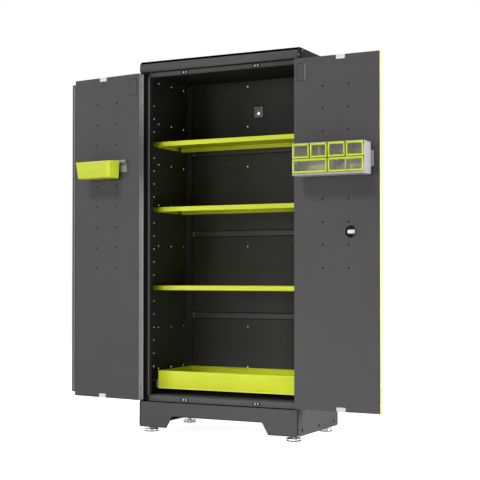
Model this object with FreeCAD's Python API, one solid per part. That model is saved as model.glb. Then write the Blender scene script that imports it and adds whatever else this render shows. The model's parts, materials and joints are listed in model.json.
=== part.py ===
"""Two-door steel garage cabinet with shelves, a roll-out tray and door storage.

Sizes are millimetres. X runs to the right of someone facing the doors, Y runs from the doors
to the back, Z is up and the floor is Z = 0. Pieces are modelled with the front of the base and
cap at Y = 0 and the doors shut, then the doors are swung open to the angles they rest at, and the
whole cabinet is moved back so that the middle of its open footprint lies on the origin.
"""
import FreeCAD, Part
import math
import os

# Overall cabinet
WIDTH = 856.0
DEPTH = 485.0
HEIGHT = 1829.0
SHEET = 1.0                  # panels, doors, shelves and tray
FRAME_SHEET = 1.5            # posts, rails and brackets
FIT = 0.4                    # gap between pieces that pass each other
SNUG = 0.1                   # gap round a stud, peg or screw in its hole

# Base
FLOOR_CLEARANCE = 25.0
BASE_HEIGHT = 123.0
BASE_CORNER_RADIUS = 12.0
BASE_SLOT_FRONT = 6.0        # tab slot near the top front of each side apron
BASE_SLOT_DROP = 14.0
BASE_SLOT_WIDTH = 5.0
BASE_SLOT_HEIGHT = 8.0
CUTOUT_WIDTH = 550.0         # along the bottom edge of the front apron
CUTOUT_HEIGHT = 56.0
CUTOUT_LEAN = 33.0           # how far each end leans in towards the top
CUTOUT_RADIUS = 8.0

# Levelling feet and the angles that carry them
FOOT_SIDE_INSET = 43.0
FOOT_FRONT_INSET = 45.0
FOOT_REAR_INSET = 55.0
PAD_RADIUS = 34.0
PAD_HEIGHT = 13.0
PAD_CHAMFER = 2.0
SOCKET_RADIUS = 12.0
SOCKET_HEIGHT = 4.0
STUD_RADIUS = 5.0
STUD_SPARE = 26.0            # stud standing above its nut
HEX_ACROSS_FLATS = 17.0
HEX_HEIGHT = 8.0
FOOT_RAIL_LIFT = 13.0        # from the base's lower edge up to the angle
FOOT_RAIL_SHEET = 2.5
FOOT_RAIL_WIDTH = 80.0
FOOT_RAIL_LEG = 28.0

# Top cap
CAP_FACE = 38.0
CAP_BEVEL_HEIGHT = 16.0
CAP_BEVEL_RUN = 17.0         # the bevel is along the front only

# Face frame and carcass
DOOR_GAP = 7.0               # above and below the doors
DOOR_THICKNESS = 36.0
DOOR_FRAME_GAP = 2.0
SIDE_LAP = 18.0              # the sides run this far past the frame, beside the doors' hinge edges
STILE_WIDTH = 32.5
POST_DEPTH = 24.0
TOP_RAIL_HEIGHT = 18.5
BOTTOM_RAIL_HEIGHT = 27.5
RAIL_DEPTH = 20.0
BACK_RECESS = 17.0
REAR_POST_BACK_LEG = 40.0
REAR_POST_SIDE_LEG = 20.0
FIRST_BACK_SHARE = 0.2532    # of the back's height, up to the first seam
BACK_SEAM_SHARE = 0.2621
JOINT_STRIP_HEIGHT = 28.0

# Rows of holes
SHELF_HOLE_RADIUS = 3.0
SHELF_HOLE_PITCH = 65.8
SHELF_HOLE_TOP_DROP = 83.0
SHELF_HOLE_FLOOR_MARGIN = 55.0
ACCESSORY_HOLE_RADIUS = 3.0
ACCESSORY_COLUMN = 127.0
ACCESSORY_ROW = 103.6
WALL_ACCESSORY_DROP = 28.0
SIDE_ACCESSORY_FRONT = 181.0
DOOR_HOLE_DROP = 136.0
DOOR_HOLE_FROM_HINGE = 143.0
DOOR_HOLE_COUNT = 9
WALL_ANCHOR_SPACING = 406.4
WALL_ANCHOR_DROP = 75.0
WALL_ANCHOR_RADIUS = 3.5

# Shelves, counted down from the top row of shelf holes
SHELF_ROWS = {"shelf_upper": 4, "shelf_middle": 9, "shelf_lower": 15}
SHELF_FRONT = 124.0
SHELF_BACK_GAP = 35.0
SHELF_SIDE_GAP = 2.0
SHELF_LIP = 22.0
SHELF_FRONT_CLIP = 11.0      # from the shelf's front edge to the clip
SHELF_REAR_CLIP = 42.0
CLIP_WIDTH = 14.0
CLIP_RISE = 11.0
CLIP_DROP = 8.0
CLIP_REACH = 16.0
CLIP_NOTCH = 32.0

# Roll-out tray and its slides
TRAY_FRONT = 100.0
TRAY_BACK_GAP = 27.0
TRAY_LIFT = 29.0             # over the floor panel
TRAY_HEIGHT = 89.0
TRAY_HEM = 7.0
TRAY_STILE_GAP = 1.0         # between the slides and the post they pass
SLIDE_THICKNESS = 12.7
SLIDE_HEIGHT = 40.0
SLIDE_SHEET = 1.2
SLIDE_END_GAP = 5.0
SLIDE_TRAY_LIFT = 2.0
SLIDE_RUN_GAP = 0.8

# Cable port in the back
PORT_DROP = 163.0
PORT_WIDTH = 52.0
PORT_HEIGHT = 59.0
PORT_THICKNESS = 2.0
PORT_SLEEVE_RADIUS = 13.0
PORT_BORE_RADIUS = 10.0
PORT_BORE_DROP = 9.0         # below the middle of the plate

# Magnetic catches and their strikes
CATCH_FROM_CENTRE = 195.0
CATCH_WIDTH = 44.0
CATCH_HEIGHT = 12.0
CATCH_DEPTH = 18.0
POLE_SPACING = 20.0
POLE_WIDTH = 6.0
POLE_HEIGHT = 8.0
STRIKE_WIDTH = 44.0
STRIKE_HEIGHT = 19.0
STRIKE_SHEET = 1.0
STRIKE_EDGE = 0.5

# Doors and their pivots
DOOR_SIDE_INSET = 1.5
DOOR_CENTRE_GAP = 18.0
LEFT_OPEN_ANGLE = 187.0
RIGHT_OPEN_ANGLE = 179.0
PIVOT_SIDE_INSET = 6.1
PIVOT_FRONT_INSET = 7.9
PIN_RADIUS = 3.0
PIN_RUNNING_GAP = 0.05
PIN_BLOCK_WIDTH = 14.0
PIN_BLOCK_DEPTH = 15.0
PIN_BLOCK_HEIGHT = 30.0
BUSH_RADIUS = 4.5
BUSH_FLANGE_RADIUS = 6.0
BUSH_DEPTH = 4.0
HINGE_PLATE_WIDTH = 41.0
HINGE_PLATE_HEIGHT = 78.0
HINGE_PLATE_SHEET = 1.2
HINGE_PLATE_FROM_EDGE = 16.0
HINGE_PLATE_FROM_END = 26.0
ASTRAGAL_REACH = 18.9
ASTRAGAL_END = 20.0
ASTRAGAL_FRONT = 3.0
ASTRAGAL_STAND_OFF = 0.5
EDGE_PULL_THICKNESS = 2.0
EDGE_PULL_MARGIN = 3.0       # from the liner's face
EDGE_PULL_WIDTH = 25.0

# Lock in the right door
LOCK_FROM_HINGE = 280.0
LOCK_HEIGHT = 810.0          # above the door's lower edge
LOCK_ACCESS_RADIUS = 27.0
BARREL_RADIUS = 11.0
BARREL_FLANGE_RADIUS = 16.0
BARREL_FLANGE = 2.5
BARREL_LENGTH = 20.0
SPINDLE_RADIUS = 6.0
KNOB_RADIUS = 17.0
KNOB_DEPTH = 6.0
KNOB_GRIP_WIDTH = 9.0
KNOB_GRIP_DEPTH = 12.0
CAM_RADIUS = 19.0
CAM_THICKNESS = 3.0
CAM_PIN_RADIUS = 3.0
CAM_PIN_CIRCLE = 14.0
ROD_WIDTH = 10.0
ROD_THICKNESS = 3.0
ROD_OFFSET = 12.0
ROD_END_GAP = 2.0
YOKE_MARGIN = 4.0
YOKE_SLACK = 0.8
ROD_KEEPER_GAP = 2.0

# Bin on the left door, hung at a row of door holes
GEAR_ROW_INDEX = 3
BIN_FROM_HINGE = 111.5
BIN_WIDTH = 218.0
BIN_DEPTH = 93.0
BIN_HEIGHT = 82.0            # of the front, the back wall rises higher
BIN_BACK_RISE = 7.0
BIN_WALL = 2.2
BIN_SIDE_TAPER = 6.0
BIN_FRONT_TAPER = 12.0
BIN_CORNER = 16.0
BIN_FOOT_BEVEL = 6.0
BIN_TOP_OVER_ROW = 12.5
BIN_STAND_OFF = 15.0
BRACKET_OVERHANG = 35.5
BRACKET_HEIGHT = 60.0
BRACKET_OVER_ROW = 22.5
BRACKET_LIP = 14.0
HOOK_WIDTH = 26.0
HOOK_SPACING = 120.0

# Drawer organizer on the right door
ORGANIZER_HINGE_MARGIN = 33.0
ORGANIZER_FREE_MARGIN = 36.5
ORGANIZER_HEIGHT = 146.0
ORGANIZER_OVER_ROW = 42.5
ORGANIZER_DEPTH = 88.0
ORGANIZER_WALL = 2.5
ORGANIZER_BACK = 9.0
ORGANIZER_CORNER = 5.0
ORGANIZER_REAR_CHAMFER = 8.0
ORGANIZER_PLATE = 4.0
ORGANIZER_PLATE_MARGIN = 14.0
ORGANIZER_TAB_REACH = 8.0
ORGANIZER_TAB_HEIGHT = 71.0
UPPER_ROW_SHARE = 0.48
DRAWER_GAP = 0.6
DRAWER_WALL = 1.6
DRAWER_FRONT = 3.0
DRAWER_PROUD = 6.0
DRAWER_BACK_GAP = 1.5
GRIP_DEPTH = 4.0
GRIP_HEIGHT = 7.0
WINDOW_SIDE = 7.0
WINDOW_TOP = 12.0
WINDOW_BOTTOM = 8.0
WINDOW_PANE = 1.0
UPPER_DRAWER_COUNT = 4
LOWER_DRAWER_COUNT = 2

# Screws
SCREW_RADIUS = 2.2
SCREW_HEAD_RADIUS = 4.0
SCREW_HEAD = 1.8
BASE_SCREW_RISE = 27.0
CAP_SCREW_FRONT = 7.5
CAP_SCREW_REAR = 51.0
CAP_SCREW_DROP = 9.5
STRIP_SCREW_INSET = 8.0

# Levels and faces worked out from the driving sizes
HALF = WIDTH / 2
INSIDE = HALF - SHEET
BASE_BOTTOM = FLOOR_CLEARANCE
BASE_TOP = BASE_BOTTOM + BASE_HEIGHT
CAP_BOTTOM = HEIGHT - CAP_BEVEL_HEIGHT - CAP_FACE
DOOR_BOTTOM = BASE_TOP + DOOR_GAP
DOOR_TOP = CAP_BOTTOM - DOOR_GAP
FRAME_FRONT = DOOR_THICKNESS + DOOR_FRAME_GAP
STILE_EDGE = HALF - STILE_WIDTH
BACK = DEPTH - BACK_RECESS - SHEET
FLOOR_TOP = BASE_TOP + BOTTOM_RAIL_HEIGHT + SHEET
PIVOT_X = HALF - PIVOT_SIDE_INSET
HINGE_EDGE = -(HALF - DOOR_SIDE_INSET)
FREE_EDGE = -DOOR_CENTRE_GAP / 2
LINER_FACE = DOOR_THICKNESS
SHELF_HOLE_TOP = CAP_BOTTOM - SHELF_HOLE_TOP_DROP
SHELF_BACK = BACK - SHELF_BACK_GAP
SHELF_COLUMNS = (SHELF_FRONT + SHELF_FRONT_CLIP, SHELF_BACK - SHELF_REAR_CLIP)
GEAR_LEVEL = DOOR_TOP - DOOR_HOLE_DROP - GEAR_ROW_INDEX * ACCESSORY_ROW
LOCK_X = HINGE_EDGE + LOCK_FROM_HINGE
LOCK_Z = DOOR_BOTTOM + LOCK_HEIGHT
CAM_BACK = SHEET + BARREL_LENGTH + SHEET
ROD_FRONT = CAM_BACK + CAM_THICKNESS + FIT
SLIDE_OUTER = STILE_EDGE - TRAY_STILE_GAP
TRAY_HALF = SLIDE_OUTER - SLIDE_THICKNESS
TRAY_BACK = BACK - TRAY_BACK_GAP
TRAY_BOTTOM = FLOOR_TOP + TRAY_LIFT
TRAY_TOP = TRAY_BOTTOM + TRAY_HEIGHT
FOOT_RAIL_Z = BASE_BOTTOM + FOOT_RAIL_LIFT
BASE_SCREW_Z = BASE_BOTTOM + BASE_SCREW_RISE
GEAR_REACH = BIN_STAND_OFF + BIN_DEPTH + DOOR_THICKNESS - 2 * PIVOT_FRONT_INSET
ORIGIN_DEPTH = (DEPTH - GEAR_REACH) / 2

X_AXIS = FreeCAD.Vector(1, 0, 0)
Y_AXIS = FreeCAD.Vector(0, 1, 0)
Z_AXIS = FreeCAD.Vector(0, 0, 1)
SIDES = (-1, 1)


def box(x0, x1, y0, y1, z0, z1):
    """A block between two corners, given in any order along X."""
    low = FreeCAD.Vector(min(x0, x1), y0, z0)
    return Part.makeBox(abs(x1 - x0), y1 - y0, z1 - z0, low)


def rod(x, y, z, radius, length, axis):
    return Part.makeCylinder(radius, length, FreeCAD.Vector(x, y, z), axis)


def drill(shape, cutters):
    """The shape with every cutter taken out of it."""
    return shape.cut(Part.makeCompound(cutters)) if cutters else shape


def fuse(*shapes):
    return shapes[0].multiFuse(list(shapes[1:])).removeSplitter()


def prism(points, extrusion):
    """A closed outline, swept straight along a vector."""
    wire = Part.makePolygon([FreeCAD.Vector(*p) for p in points + points[:1]])
    return Part.Face(wire).extrude(extrusion)


def rounded(shape, radius, axis, keep):
    """Fillet the straight edges along an axis whose middle passes the test."""
    chosen = []
    for edge in shape.Edges:
        run = edge.Vertexes[-1].Point.sub(edge.Vertexes[0].Point)
        straight = abs(run.Length - edge.Length) < 1e-6 and run.Length > 1e-6
        if straight and abs(run.dot(axis)) > 0.999 * run.Length and keep(edge.CenterOfMass):
            chosen.append(edge)
    return shape.makeFillet(radius, chosen)


def rounded_outline(corners, radius):
    """A flat outline through four corners, each rounded."""
    face = Part.Face(Part.makePolygon([FreeCAD.Vector(*c) for c in corners + corners[:1]]))
    return face.makeOffset2D(-radius).makeOffset2D(radius).OuterWire


def mirrored(shape):
    """The same piece on the other side of the cabinet."""
    return shape.mirror(FreeCAD.Vector(0, 0, 0), X_AXIS)


def both_sides(left_piece):
    return [left_piece, mirrored(left_piece)]


def hexagon(x, y, z, height):
    """A hexagonal prism standing on a level."""
    corner = HEX_ACROSS_FLATS / math.sqrt(3)
    turns = [math.radians(60 * k) for k in range(6)]
    outline = [(x + corner * math.cos(t), y + corner * math.sin(t), z) for t in turns]
    return prism(outline, Z_AXIS * height)


def screw(x, y, z, out, grip):
    """A pan-head screw: the head lies on the surface, the shank goes in by the grip."""
    head_at = FreeCAD.Vector(x, y, z)
    head = Part.makeCone(SCREW_HEAD_RADIUS, 0.75 * SCREW_HEAD_RADIUS, SCREW_HEAD, head_at, out)
    shank = Part.makeCylinder(SCREW_RADIUS, grip, head_at, out * -1)
    return fuse(head, shank)


def screw_hole(x, y, z, axis, reach):
    """A clearance hole centred on a screw's seat."""
    start = FreeCAD.Vector(x, y, z).sub(axis * reach)
    return Part.makeCylinder(SCREW_RADIUS + SNUG, 2 * reach, start, axis)


def base_screw_depths():
    """Front, middle and rear screws of each side apron."""
    return (FOOT_FRONT_INSET, DEPTH / 2, DEPTH - FOOT_REAR_INSET)


def foot_depths():
    return {"front": FOOT_FRONT_INSET, "rear": DEPTH - FOOT_REAR_INSET}


def joint_levels():
    """Heights of the seams between the sheets of the back."""
    height = CAP_BOTTOM - BASE_TOP
    return [BASE_TOP + height * (FIRST_BACK_SHARE + k * BACK_SEAM_SHARE) for k in range(3)]


def steps(first, pitch, limit):
    """Places from first, a pitch apart, that lie inside the limit."""
    count = int(abs(limit - first) / pitch) + 1
    direction = 1 if limit > first else -1
    return [first + direction * pitch * k for k in range(count)]


# Base

def base_front_apron():
    sheet = box(-HALF, HALF, 0, SHEET, BASE_BOTTOM, BASE_TOP)
    low = CUTOUT_WIDTH / 2
    high = low - CUTOUT_LEAN
    top = BASE_BOTTOM + CUTOUT_HEIGHT
    outline = [(-low, 0, BASE_BOTTOM), (-high, 0, top), (high, 0, top), (low, 0, BASE_BOTTOM)]
    sheet = sheet.cut(prism(outline, Y_AXIS * SHEET))
    sheet = rounded(sheet, CUTOUT_RADIUS, Y_AXIS, lambda c: abs(c.z - top) < 1 and abs(c.x) < HALF - 1)
    return rounded(sheet, BASE_CORNER_RADIUS, Y_AXIS,
                   lambda c: c.z < BASE_BOTTOM + 1 and abs(c.x) > HALF - 1)


def base_side_apron():
    """The left apron, with its rounded rear foot, screw holes and tab slot."""
    sheet = box(-HALF, -INSIDE, SHEET, DEPTH, BASE_BOTTOM, BASE_TOP)
    sheet = rounded(sheet, BASE_CORNER_RADIUS, X_AXIS,
                    lambda c: c.z < BASE_BOTTOM + 1 and c.y > DEPTH - 1)
    holes = [screw_hole(-HALF, y, BASE_SCREW_Z, X_AXIS, 3 * SHEET) for y in base_screw_depths()]
    slot_z = BASE_TOP - BASE_SLOT_DROP
    holes.append(box(-HALF, -INSIDE, BASE_SLOT_FRONT, BASE_SLOT_FRONT + BASE_SLOT_WIDTH,
                     slot_z, slot_z + BASE_SLOT_HEIGHT))
    return drill(sheet, holes)


def base_rear_apron():
    lift = BASE_BOTTOM + BASE_CORNER_RADIUS
    return box(-INSIDE, INSIDE, DEPTH - SHEET, DEPTH, lift, BASE_TOP)


def rod_keepers(z, height):
    """Slots that the two lock rods shoot into, one size larger than the rod."""
    wide = ROD_WIDTH / 2 + ROD_KEEPER_GAP
    return [box(-x - wide, -x + wide, ROD_FRONT - ROD_KEEPER_GAP,
                ROD_FRONT + ROD_THICKNESS + ROD_KEEPER_GAP, z, z + height)
            for x in (LOCK_X - ROD_OFFSET, LOCK_X + ROD_OFFSET)]


def pivot_deck(z):
    """A level sheet with holes for the two pivot bushes and the lock rods."""
    sheet = box(-INSIDE, INSIDE, SHEET, DEPTH - SHEET, z, z + SHEET)
    holes = [rod(s * PIVOT_X, PIVOT_FRONT_INSET, z, BUSH_RADIUS + SNUG, SHEET, Z_AXIS) for s in SIDES]
    return drill(sheet, holes + rod_keepers(z, SHEET))


def foot_rail():
    """The left angle along the base, with a welded nut over each foot."""
    flat = box(-INSIDE, -INSIDE + FOOT_RAIL_WIDTH, SHEET, DEPTH - SHEET,
               FOOT_RAIL_Z, FOOT_RAIL_Z + FOOT_RAIL_SHEET)
    wall = box(-INSIDE, -INSIDE + FOOT_RAIL_SHEET, SHEET, DEPTH - SHEET,
               FOOT_RAIL_Z + FOOT_RAIL_SHEET, FOOT_RAIL_Z + FOOT_RAIL_LEG)
    x = -HALF + FOOT_SIDE_INSET
    nut_z = FOOT_RAIL_Z + FOOT_RAIL_SHEET
    nuts = [hexagon(x, y, nut_z, HEX_HEIGHT) for y in foot_depths().values()]
    bores = [rod(x, y, FOOT_RAIL_Z, STUD_RADIUS + SNUG, FOOT_RAIL_SHEET + HEX_HEIGHT, Z_AXIS)
             for y in foot_depths().values()]
    holes = [screw_hole(-HALF, y, BASE_SCREW_Z, X_AXIS, 2 * SHEET + FOOT_RAIL_SHEET)
             for y in base_screw_depths()]
    return drill(fuse(flat, wall, *nuts), bores + holes)


def foot(x, y):
    """Pad, ball socket, hexagon and stud of one levelling foot."""
    socket_top = PAD_HEIGHT + SOCKET_HEIGHT
    profile = [(0, 0, 0), (PAD_RADIUS, 0, 0), (PAD_RADIUS, 0, PAD_HEIGHT - PAD_CHAMFER),
               (PAD_RADIUS - PAD_CHAMFER, 0, PAD_HEIGHT), (SOCKET_RADIUS, 0, PAD_HEIGHT),
               (STUD_RADIUS, 0, socket_top), (0, 0, socket_top)]
    wire = Part.makePolygon([FreeCAD.Vector(*p) for p in profile + profile[:1]])
    pad = Part.Face(wire).revolve(FreeCAD.Vector(0, 0, 0), Z_AXIS, 360)
    pad.translate(FreeCAD.Vector(x, y, 0))
    stud_top = FOOT_RAIL_Z + FOOT_RAIL_SHEET + HEX_HEIGHT + STUD_SPARE
    stud = rod(x, y, PAD_HEIGHT, STUD_RADIUS, stud_top - PAD_HEIGHT, Z_AXIS)
    return fuse(pad, stud, hexagon(x, y, socket_top, HEX_HEIGHT))


# Carcass

def side_panel():
    """The left side with its shelf holes and accessory holes."""
    sheet = box(-HALF, -INSIDE, FRAME_FRONT - SIDE_LAP, DEPTH, BASE_TOP, CAP_BOTTOM)
    rows = steps(SHELF_HOLE_TOP, SHELF_HOLE_PITCH, FLOOR_TOP + SHELF_HOLE_FLOOR_MARGIN)
    holes = [rod(-HALF, y, z, SHELF_HOLE_RADIUS, SHEET, X_AXIS) for y in SHELF_COLUMNS for z in rows]
    columns = steps(SIDE_ACCESSORY_FRONT, ACCESSORY_COLUMN, BACK - REAR_POST_SIDE_LEG)
    for y in columns:
        for z in wall_accessory_rows():
            holes.append(rod(-HALF, y, z, ACCESSORY_HOLE_RADIUS, SHEET, X_AXIS))
    return drill(sheet, holes)


def wall_accessory_rows():
    return steps(CAP_BOTTOM - WALL_ACCESSORY_DROP, 2 * ACCESSORY_ROW, FLOOR_TOP + SHELF_HOLE_FLOOR_MARGIN)


def front_post():
    """The left stile: a channel open to the back."""
    inner = -STILE_EDGE
    outer = -INSIDE
    face = FRAME_FRONT + FRAME_SHEET
    rear = FRAME_FRONT + POST_DEPTH
    outline = [(outer, FRAME_FRONT, BASE_TOP), (inner, FRAME_FRONT, BASE_TOP), (inner, rear, BASE_TOP),
               (inner - FRAME_SHEET, rear, BASE_TOP), (inner - FRAME_SHEET, face, BASE_TOP),
               (outer + FRAME_SHEET, face, BASE_TOP), (outer + FRAME_SHEET, rear, BASE_TOP),
               (outer, rear, BASE_TOP)]
    return prism(outline, Z_AXIS * (CAP_BOTTOM - BASE_TOP))


def rear_post():
    """The left rear angle."""
    outer = -INSIDE
    outline = [(outer, BACK - REAR_POST_SIDE_LEG, BASE_TOP),
               (outer + FRAME_SHEET, BACK - REAR_POST_SIDE_LEG, BASE_TOP),
               (outer + FRAME_SHEET, BACK - FRAME_SHEET, BASE_TOP),
               (outer + REAR_POST_BACK_LEG, BACK - FRAME_SHEET, BASE_TOP),
               (outer + REAR_POST_BACK_LEG, BACK, BASE_TOP), (outer, BACK, BASE_TOP)]
    return prism(outline, Z_AXIS * (CAP_BOTTOM - BASE_TOP))


def strip_screw_places():
    inset = INSIDE - REAR_POST_BACK_LEG - STRIP_SCREW_INSET
    return [(s * inset, z) for s in SIDES for z in joint_levels()]


def back_panels():
    """Four sheets from the base up to the roof, split at the seams."""
    levels = [BASE_TOP] + joint_levels() + [CAP_BOTTOM]
    first = ACCESSORY_COLUMN / 2
    columns = steps(first, ACCESSORY_COLUMN, INSIDE - REAR_POST_BACK_LEG - ACCESSORY_HOLE_RADIUS)
    holes = [rod(s * x, BACK, z, ACCESSORY_HOLE_RADIUS, SHEET, Y_AXIS)
             for s in SIDES for x in columns for z in wall_accessory_rows()]
    anchor_z = CAP_BOTTOM - WALL_ANCHOR_DROP
    holes += [rod(s * WALL_ANCHOR_SPACING / 2, BACK, anchor_z, WALL_ANCHOR_RADIUS, SHEET, Y_AXIS)
              for s in SIDES]
    port_z = CAP_BOTTOM - PORT_DROP - PORT_BORE_DROP
    holes.append(rod(0, BACK, port_z, PORT_SLEEVE_RADIUS + SNUG, SHEET, Y_AXIS))
    holes += [screw_hole(x, BACK, z, Y_AXIS, 2 * SHEET) for x, z in strip_screw_places()]
    names = ("back_panel_bottom", "back_panel_lower", "back_panel_upper", "back_panel_top")
    return {name: drill(box(-INSIDE, INSIDE, BACK, BACK + SHEET, low, high), holes)
            for name, low, high in zip(names, levels, levels[1:])}


def back_joint_strips():
    reach = INSIDE - REAR_POST_BACK_LEG
    half = JOINT_STRIP_HEIGHT / 2
    holes = [screw_hole(x, BACK, z, Y_AXIS, 2 * SHEET) for x, z in strip_screw_places()]
    return [drill(box(-reach, reach, BACK - SHEET, BACK, z - half, z + half), holes)
            for z in joint_levels()]


def catch_places():
    """Centres of the four catches on the rails: X and Z."""
    low = BASE_TOP + BOTTOM_RAIL_HEIGHT / 2
    high = CAP_BOTTOM - TOP_RAIL_HEIGHT / 2
    return [(s * CATCH_FROM_CENTRE, z) for s in SIDES for z in (low, high)]


def face_rails():
    """Channels over and under the opening, slotted for the catches."""
    slots = [box(x - CATCH_WIDTH / 2 - SNUG, x + CATCH_WIDTH / 2 + SNUG, FRAME_FRONT,
                 FRAME_FRONT + FRAME_SHEET, z - CATCH_HEIGHT / 2 - SNUG, z + CATCH_HEIGHT / 2 + SNUG)
             for x, z in catch_places()]
    rails = []
    for low, high in ((BASE_TOP, BASE_TOP + BOTTOM_RAIL_HEIGHT), (CAP_BOTTOM - TOP_RAIL_HEIGHT, CAP_BOTTOM)):
        block = box(-STILE_EDGE, STILE_EDGE, FRAME_FRONT, FRAME_FRONT + RAIL_DEPTH, low, high)
        hollow = box(-STILE_EDGE, STILE_EDGE, FRAME_FRONT + FRAME_SHEET, FRAME_FRONT + RAIL_DEPTH,
                     low + FRAME_SHEET, high - FRAME_SHEET)
        rails.append(drill(block.cut(hollow), slots))
    return rails


def magnetic_catch(x, z):
    """A catch set in the rail, with two poles that stand a little proud of it."""
    body = box(x - CATCH_WIDTH / 2, x + CATCH_WIDTH / 2, FRAME_FRONT, FRAME_FRONT + CATCH_DEPTH,
               z - CATCH_HEIGHT / 2, z + CATCH_HEIGHT / 2)
    proud = DOOR_FRAME_GAP - STRIKE_SHEET - FIT
    poles = [box(x + s * POLE_SPACING / 2 - POLE_WIDTH / 2, x + s * POLE_SPACING / 2 + POLE_WIDTH / 2,
                 FRAME_FRONT - proud, FRAME_FRONT + FRAME_SHEET, z - POLE_HEIGHT / 2, z + POLE_HEIGHT / 2)
             for s in SIDES]
    return fuse(body, *poles)


def floor_panel():
    """Sheet on the bottom rail, with a tongue between the posts."""
    low = FLOOR_TOP - SHEET
    reach = INSIDE - FRAME_SHEET - FIT
    tongue = STILE_EDGE - FIT
    post_rear = FRAME_FRONT + POST_DEPTH + FIT
    main = box(-reach, reach, post_rear, BACK - FRAME_SHEET - FIT, low, FLOOR_TOP)
    return fuse(main, box(-tongue, tongue, FRAME_FRONT, post_rear, low, FLOOR_TOP))


def cap_block(inset):
    """The cap's form with a bevel along the front, drawn in by a sheet's thickness."""
    slant = math.hypot(CAP_BEVEL_RUN, CAP_BEVEL_HEIGHT)
    shift = inset * (slant - CAP_BEVEL_RUN) / CAP_BEVEL_HEIGHT
    shoulder = HEIGHT - CAP_BEVEL_HEIGHT + inset * (CAP_BEVEL_HEIGHT - slant) / CAP_BEVEL_RUN
    left = -HALF + inset
    outline = [(left, inset, CAP_BOTTOM), (left, inset, shoulder),
               (left, CAP_BEVEL_RUN + shift, HEIGHT - inset),
               (left, DEPTH - inset, HEIGHT - inset), (left, DEPTH - inset, CAP_BOTTOM)]
    return prism(outline, X_AXIS * 2 * (HALF - inset))


def top_cap():
    holes = [screw_hole(s * HALF, y, z, X_AXIS, 2 * SHEET) for s in SIDES for y, z in cap_screw_places()]
    return drill(cap_block(0).cut(cap_block(SHEET)), holes)


def cap_screw_places():
    """Front screw in the face's height, rear screw near the top: Y and Z."""
    return [(CAP_SCREW_FRONT, CAP_BOTTOM + 0.45 * CAP_FACE), (CAP_SCREW_REAR, HEIGHT - CAP_SCREW_DROP)]


def pivot_bushes():
    """Flanged bushes for the door pins, pressed into the base deck and the roof."""
    bushes = []
    for side in SIDES:
        x = side * PIVOT_X
        y = PIVOT_FRONT_INSET
        flange = DOOR_GAP - FIT
        for seat, up in ((BASE_TOP, 1), (CAP_BOTTOM, -1)):
            plate = rod(x, y, seat, BUSH_FLANGE_RADIUS, flange, Z_AXIS * up)
            sleeve = rod(x, y, seat, BUSH_RADIUS, SHEET + BUSH_DEPTH, Z_AXIS * -up)
            start = seat + up * flange
            bore = rod(x, y, start, PIN_RADIUS + PIN_RUNNING_GAP, flange + SHEET + BUSH_DEPTH, Z_AXIS * -up)
            bushes.append(fuse(plate, sleeve).cut(bore))
    return bushes


def cable_port():
    """Moulded plate with a sleeve through the back."""
    z = CAP_BOTTOM - PORT_DROP
    plate = box(-PORT_WIDTH / 2, PORT_WIDTH / 2, BACK - PORT_THICKNESS, BACK,
                z - PORT_HEIGHT / 2, z + PORT_HEIGHT / 2)
    plate = rounded(plate, PORT_WIDTH / 8, Y_AXIS, lambda c: True)
    hole_z = z - PORT_BORE_DROP
    sleeve = rod(0, BACK, hole_z, PORT_SLEEVE_RADIUS, SHEET + PORT_THICKNESS, Y_AXIS)
    bore = rod(0, BACK - PORT_THICKNESS, hole_z, PORT_BORE_RADIUS, SHEET + 2 * PORT_THICKNESS, Y_AXIS)
    return fuse(plate, sleeve).cut(bore)


def panel_screws():
    screws = []
    for s in SIDES:
        for y in base_screw_depths():
            screws.append(screw(s * HALF, y, BASE_SCREW_Z, X_AXIS * s, SHEET + FOOT_RAIL_SHEET))
        for y, z in cap_screw_places():
            screws.append(screw(s * HALF, y, z, X_AXIS * s, SHEET))
    for x, z in strip_screw_places():
        screws.append(screw(x, BACK - SHEET, z, Y_AXIS * -1, 2 * SHEET))
    return screws


# Shelves

def shelf_hole_level(row):
    return SHELF_HOLE_TOP - row * SHELF_HOLE_PITCH


def shelf(row):
    """A pan turned upside down, notched over its four clips."""
    top = shelf_hole_level(row) + CLIP_RISE + SHEET
    reach = INSIDE - SHELF_SIDE_GAP
    block = box(-reach, reach, SHELF_FRONT, SHELF_BACK, top - SHELF_LIP, top)
    hollow = box(-reach + SHEET, reach - SHEET, SHELF_FRONT + SHEET, SHELF_BACK - SHEET,
                 top - SHELF_LIP, top - SHEET)
    notches = []
    for s in SIDES:
        front = SHELF_COLUMNS[0] - CLIP_WIDTH / 2 - FIT
        rear = SHELF_COLUMNS[1] - CLIP_NOTCH / 2
        for start in (front, rear):
            notches.append(box(s * reach, s * (reach - SHEET), start, start + CLIP_NOTCH,
                               top - SHELF_LIP, top - SHEET))
    return drill(block.cut(hollow), notches)


def shelf_clip(y, z):
    """Left clip: a peg in the side, an upright and a tab under the shelf."""
    half = CLIP_WIDTH / 2
    upright = box(-INSIDE, -INSIDE + FRAME_SHEET, y - half, y + half, z - CLIP_DROP, z + CLIP_RISE)
    tab = box(-INSIDE, -INSIDE + CLIP_REACH, y - half, y + half, z + CLIP_RISE - FRAME_SHEET, z + CLIP_RISE)
    peg = rod(-INSIDE, y, z, SHELF_HOLE_RADIUS - SNUG, SHEET, X_AXIS * -1)
    return fuse(upright, tab, peg)


def shelf_clips():
    clips = []
    for row in SHELF_ROWS.values():
        for y in SHELF_COLUMNS:
            clips += both_sides(shelf_clip(y, shelf_hole_level(row)))
    return clips


# Roll-out tray

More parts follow.
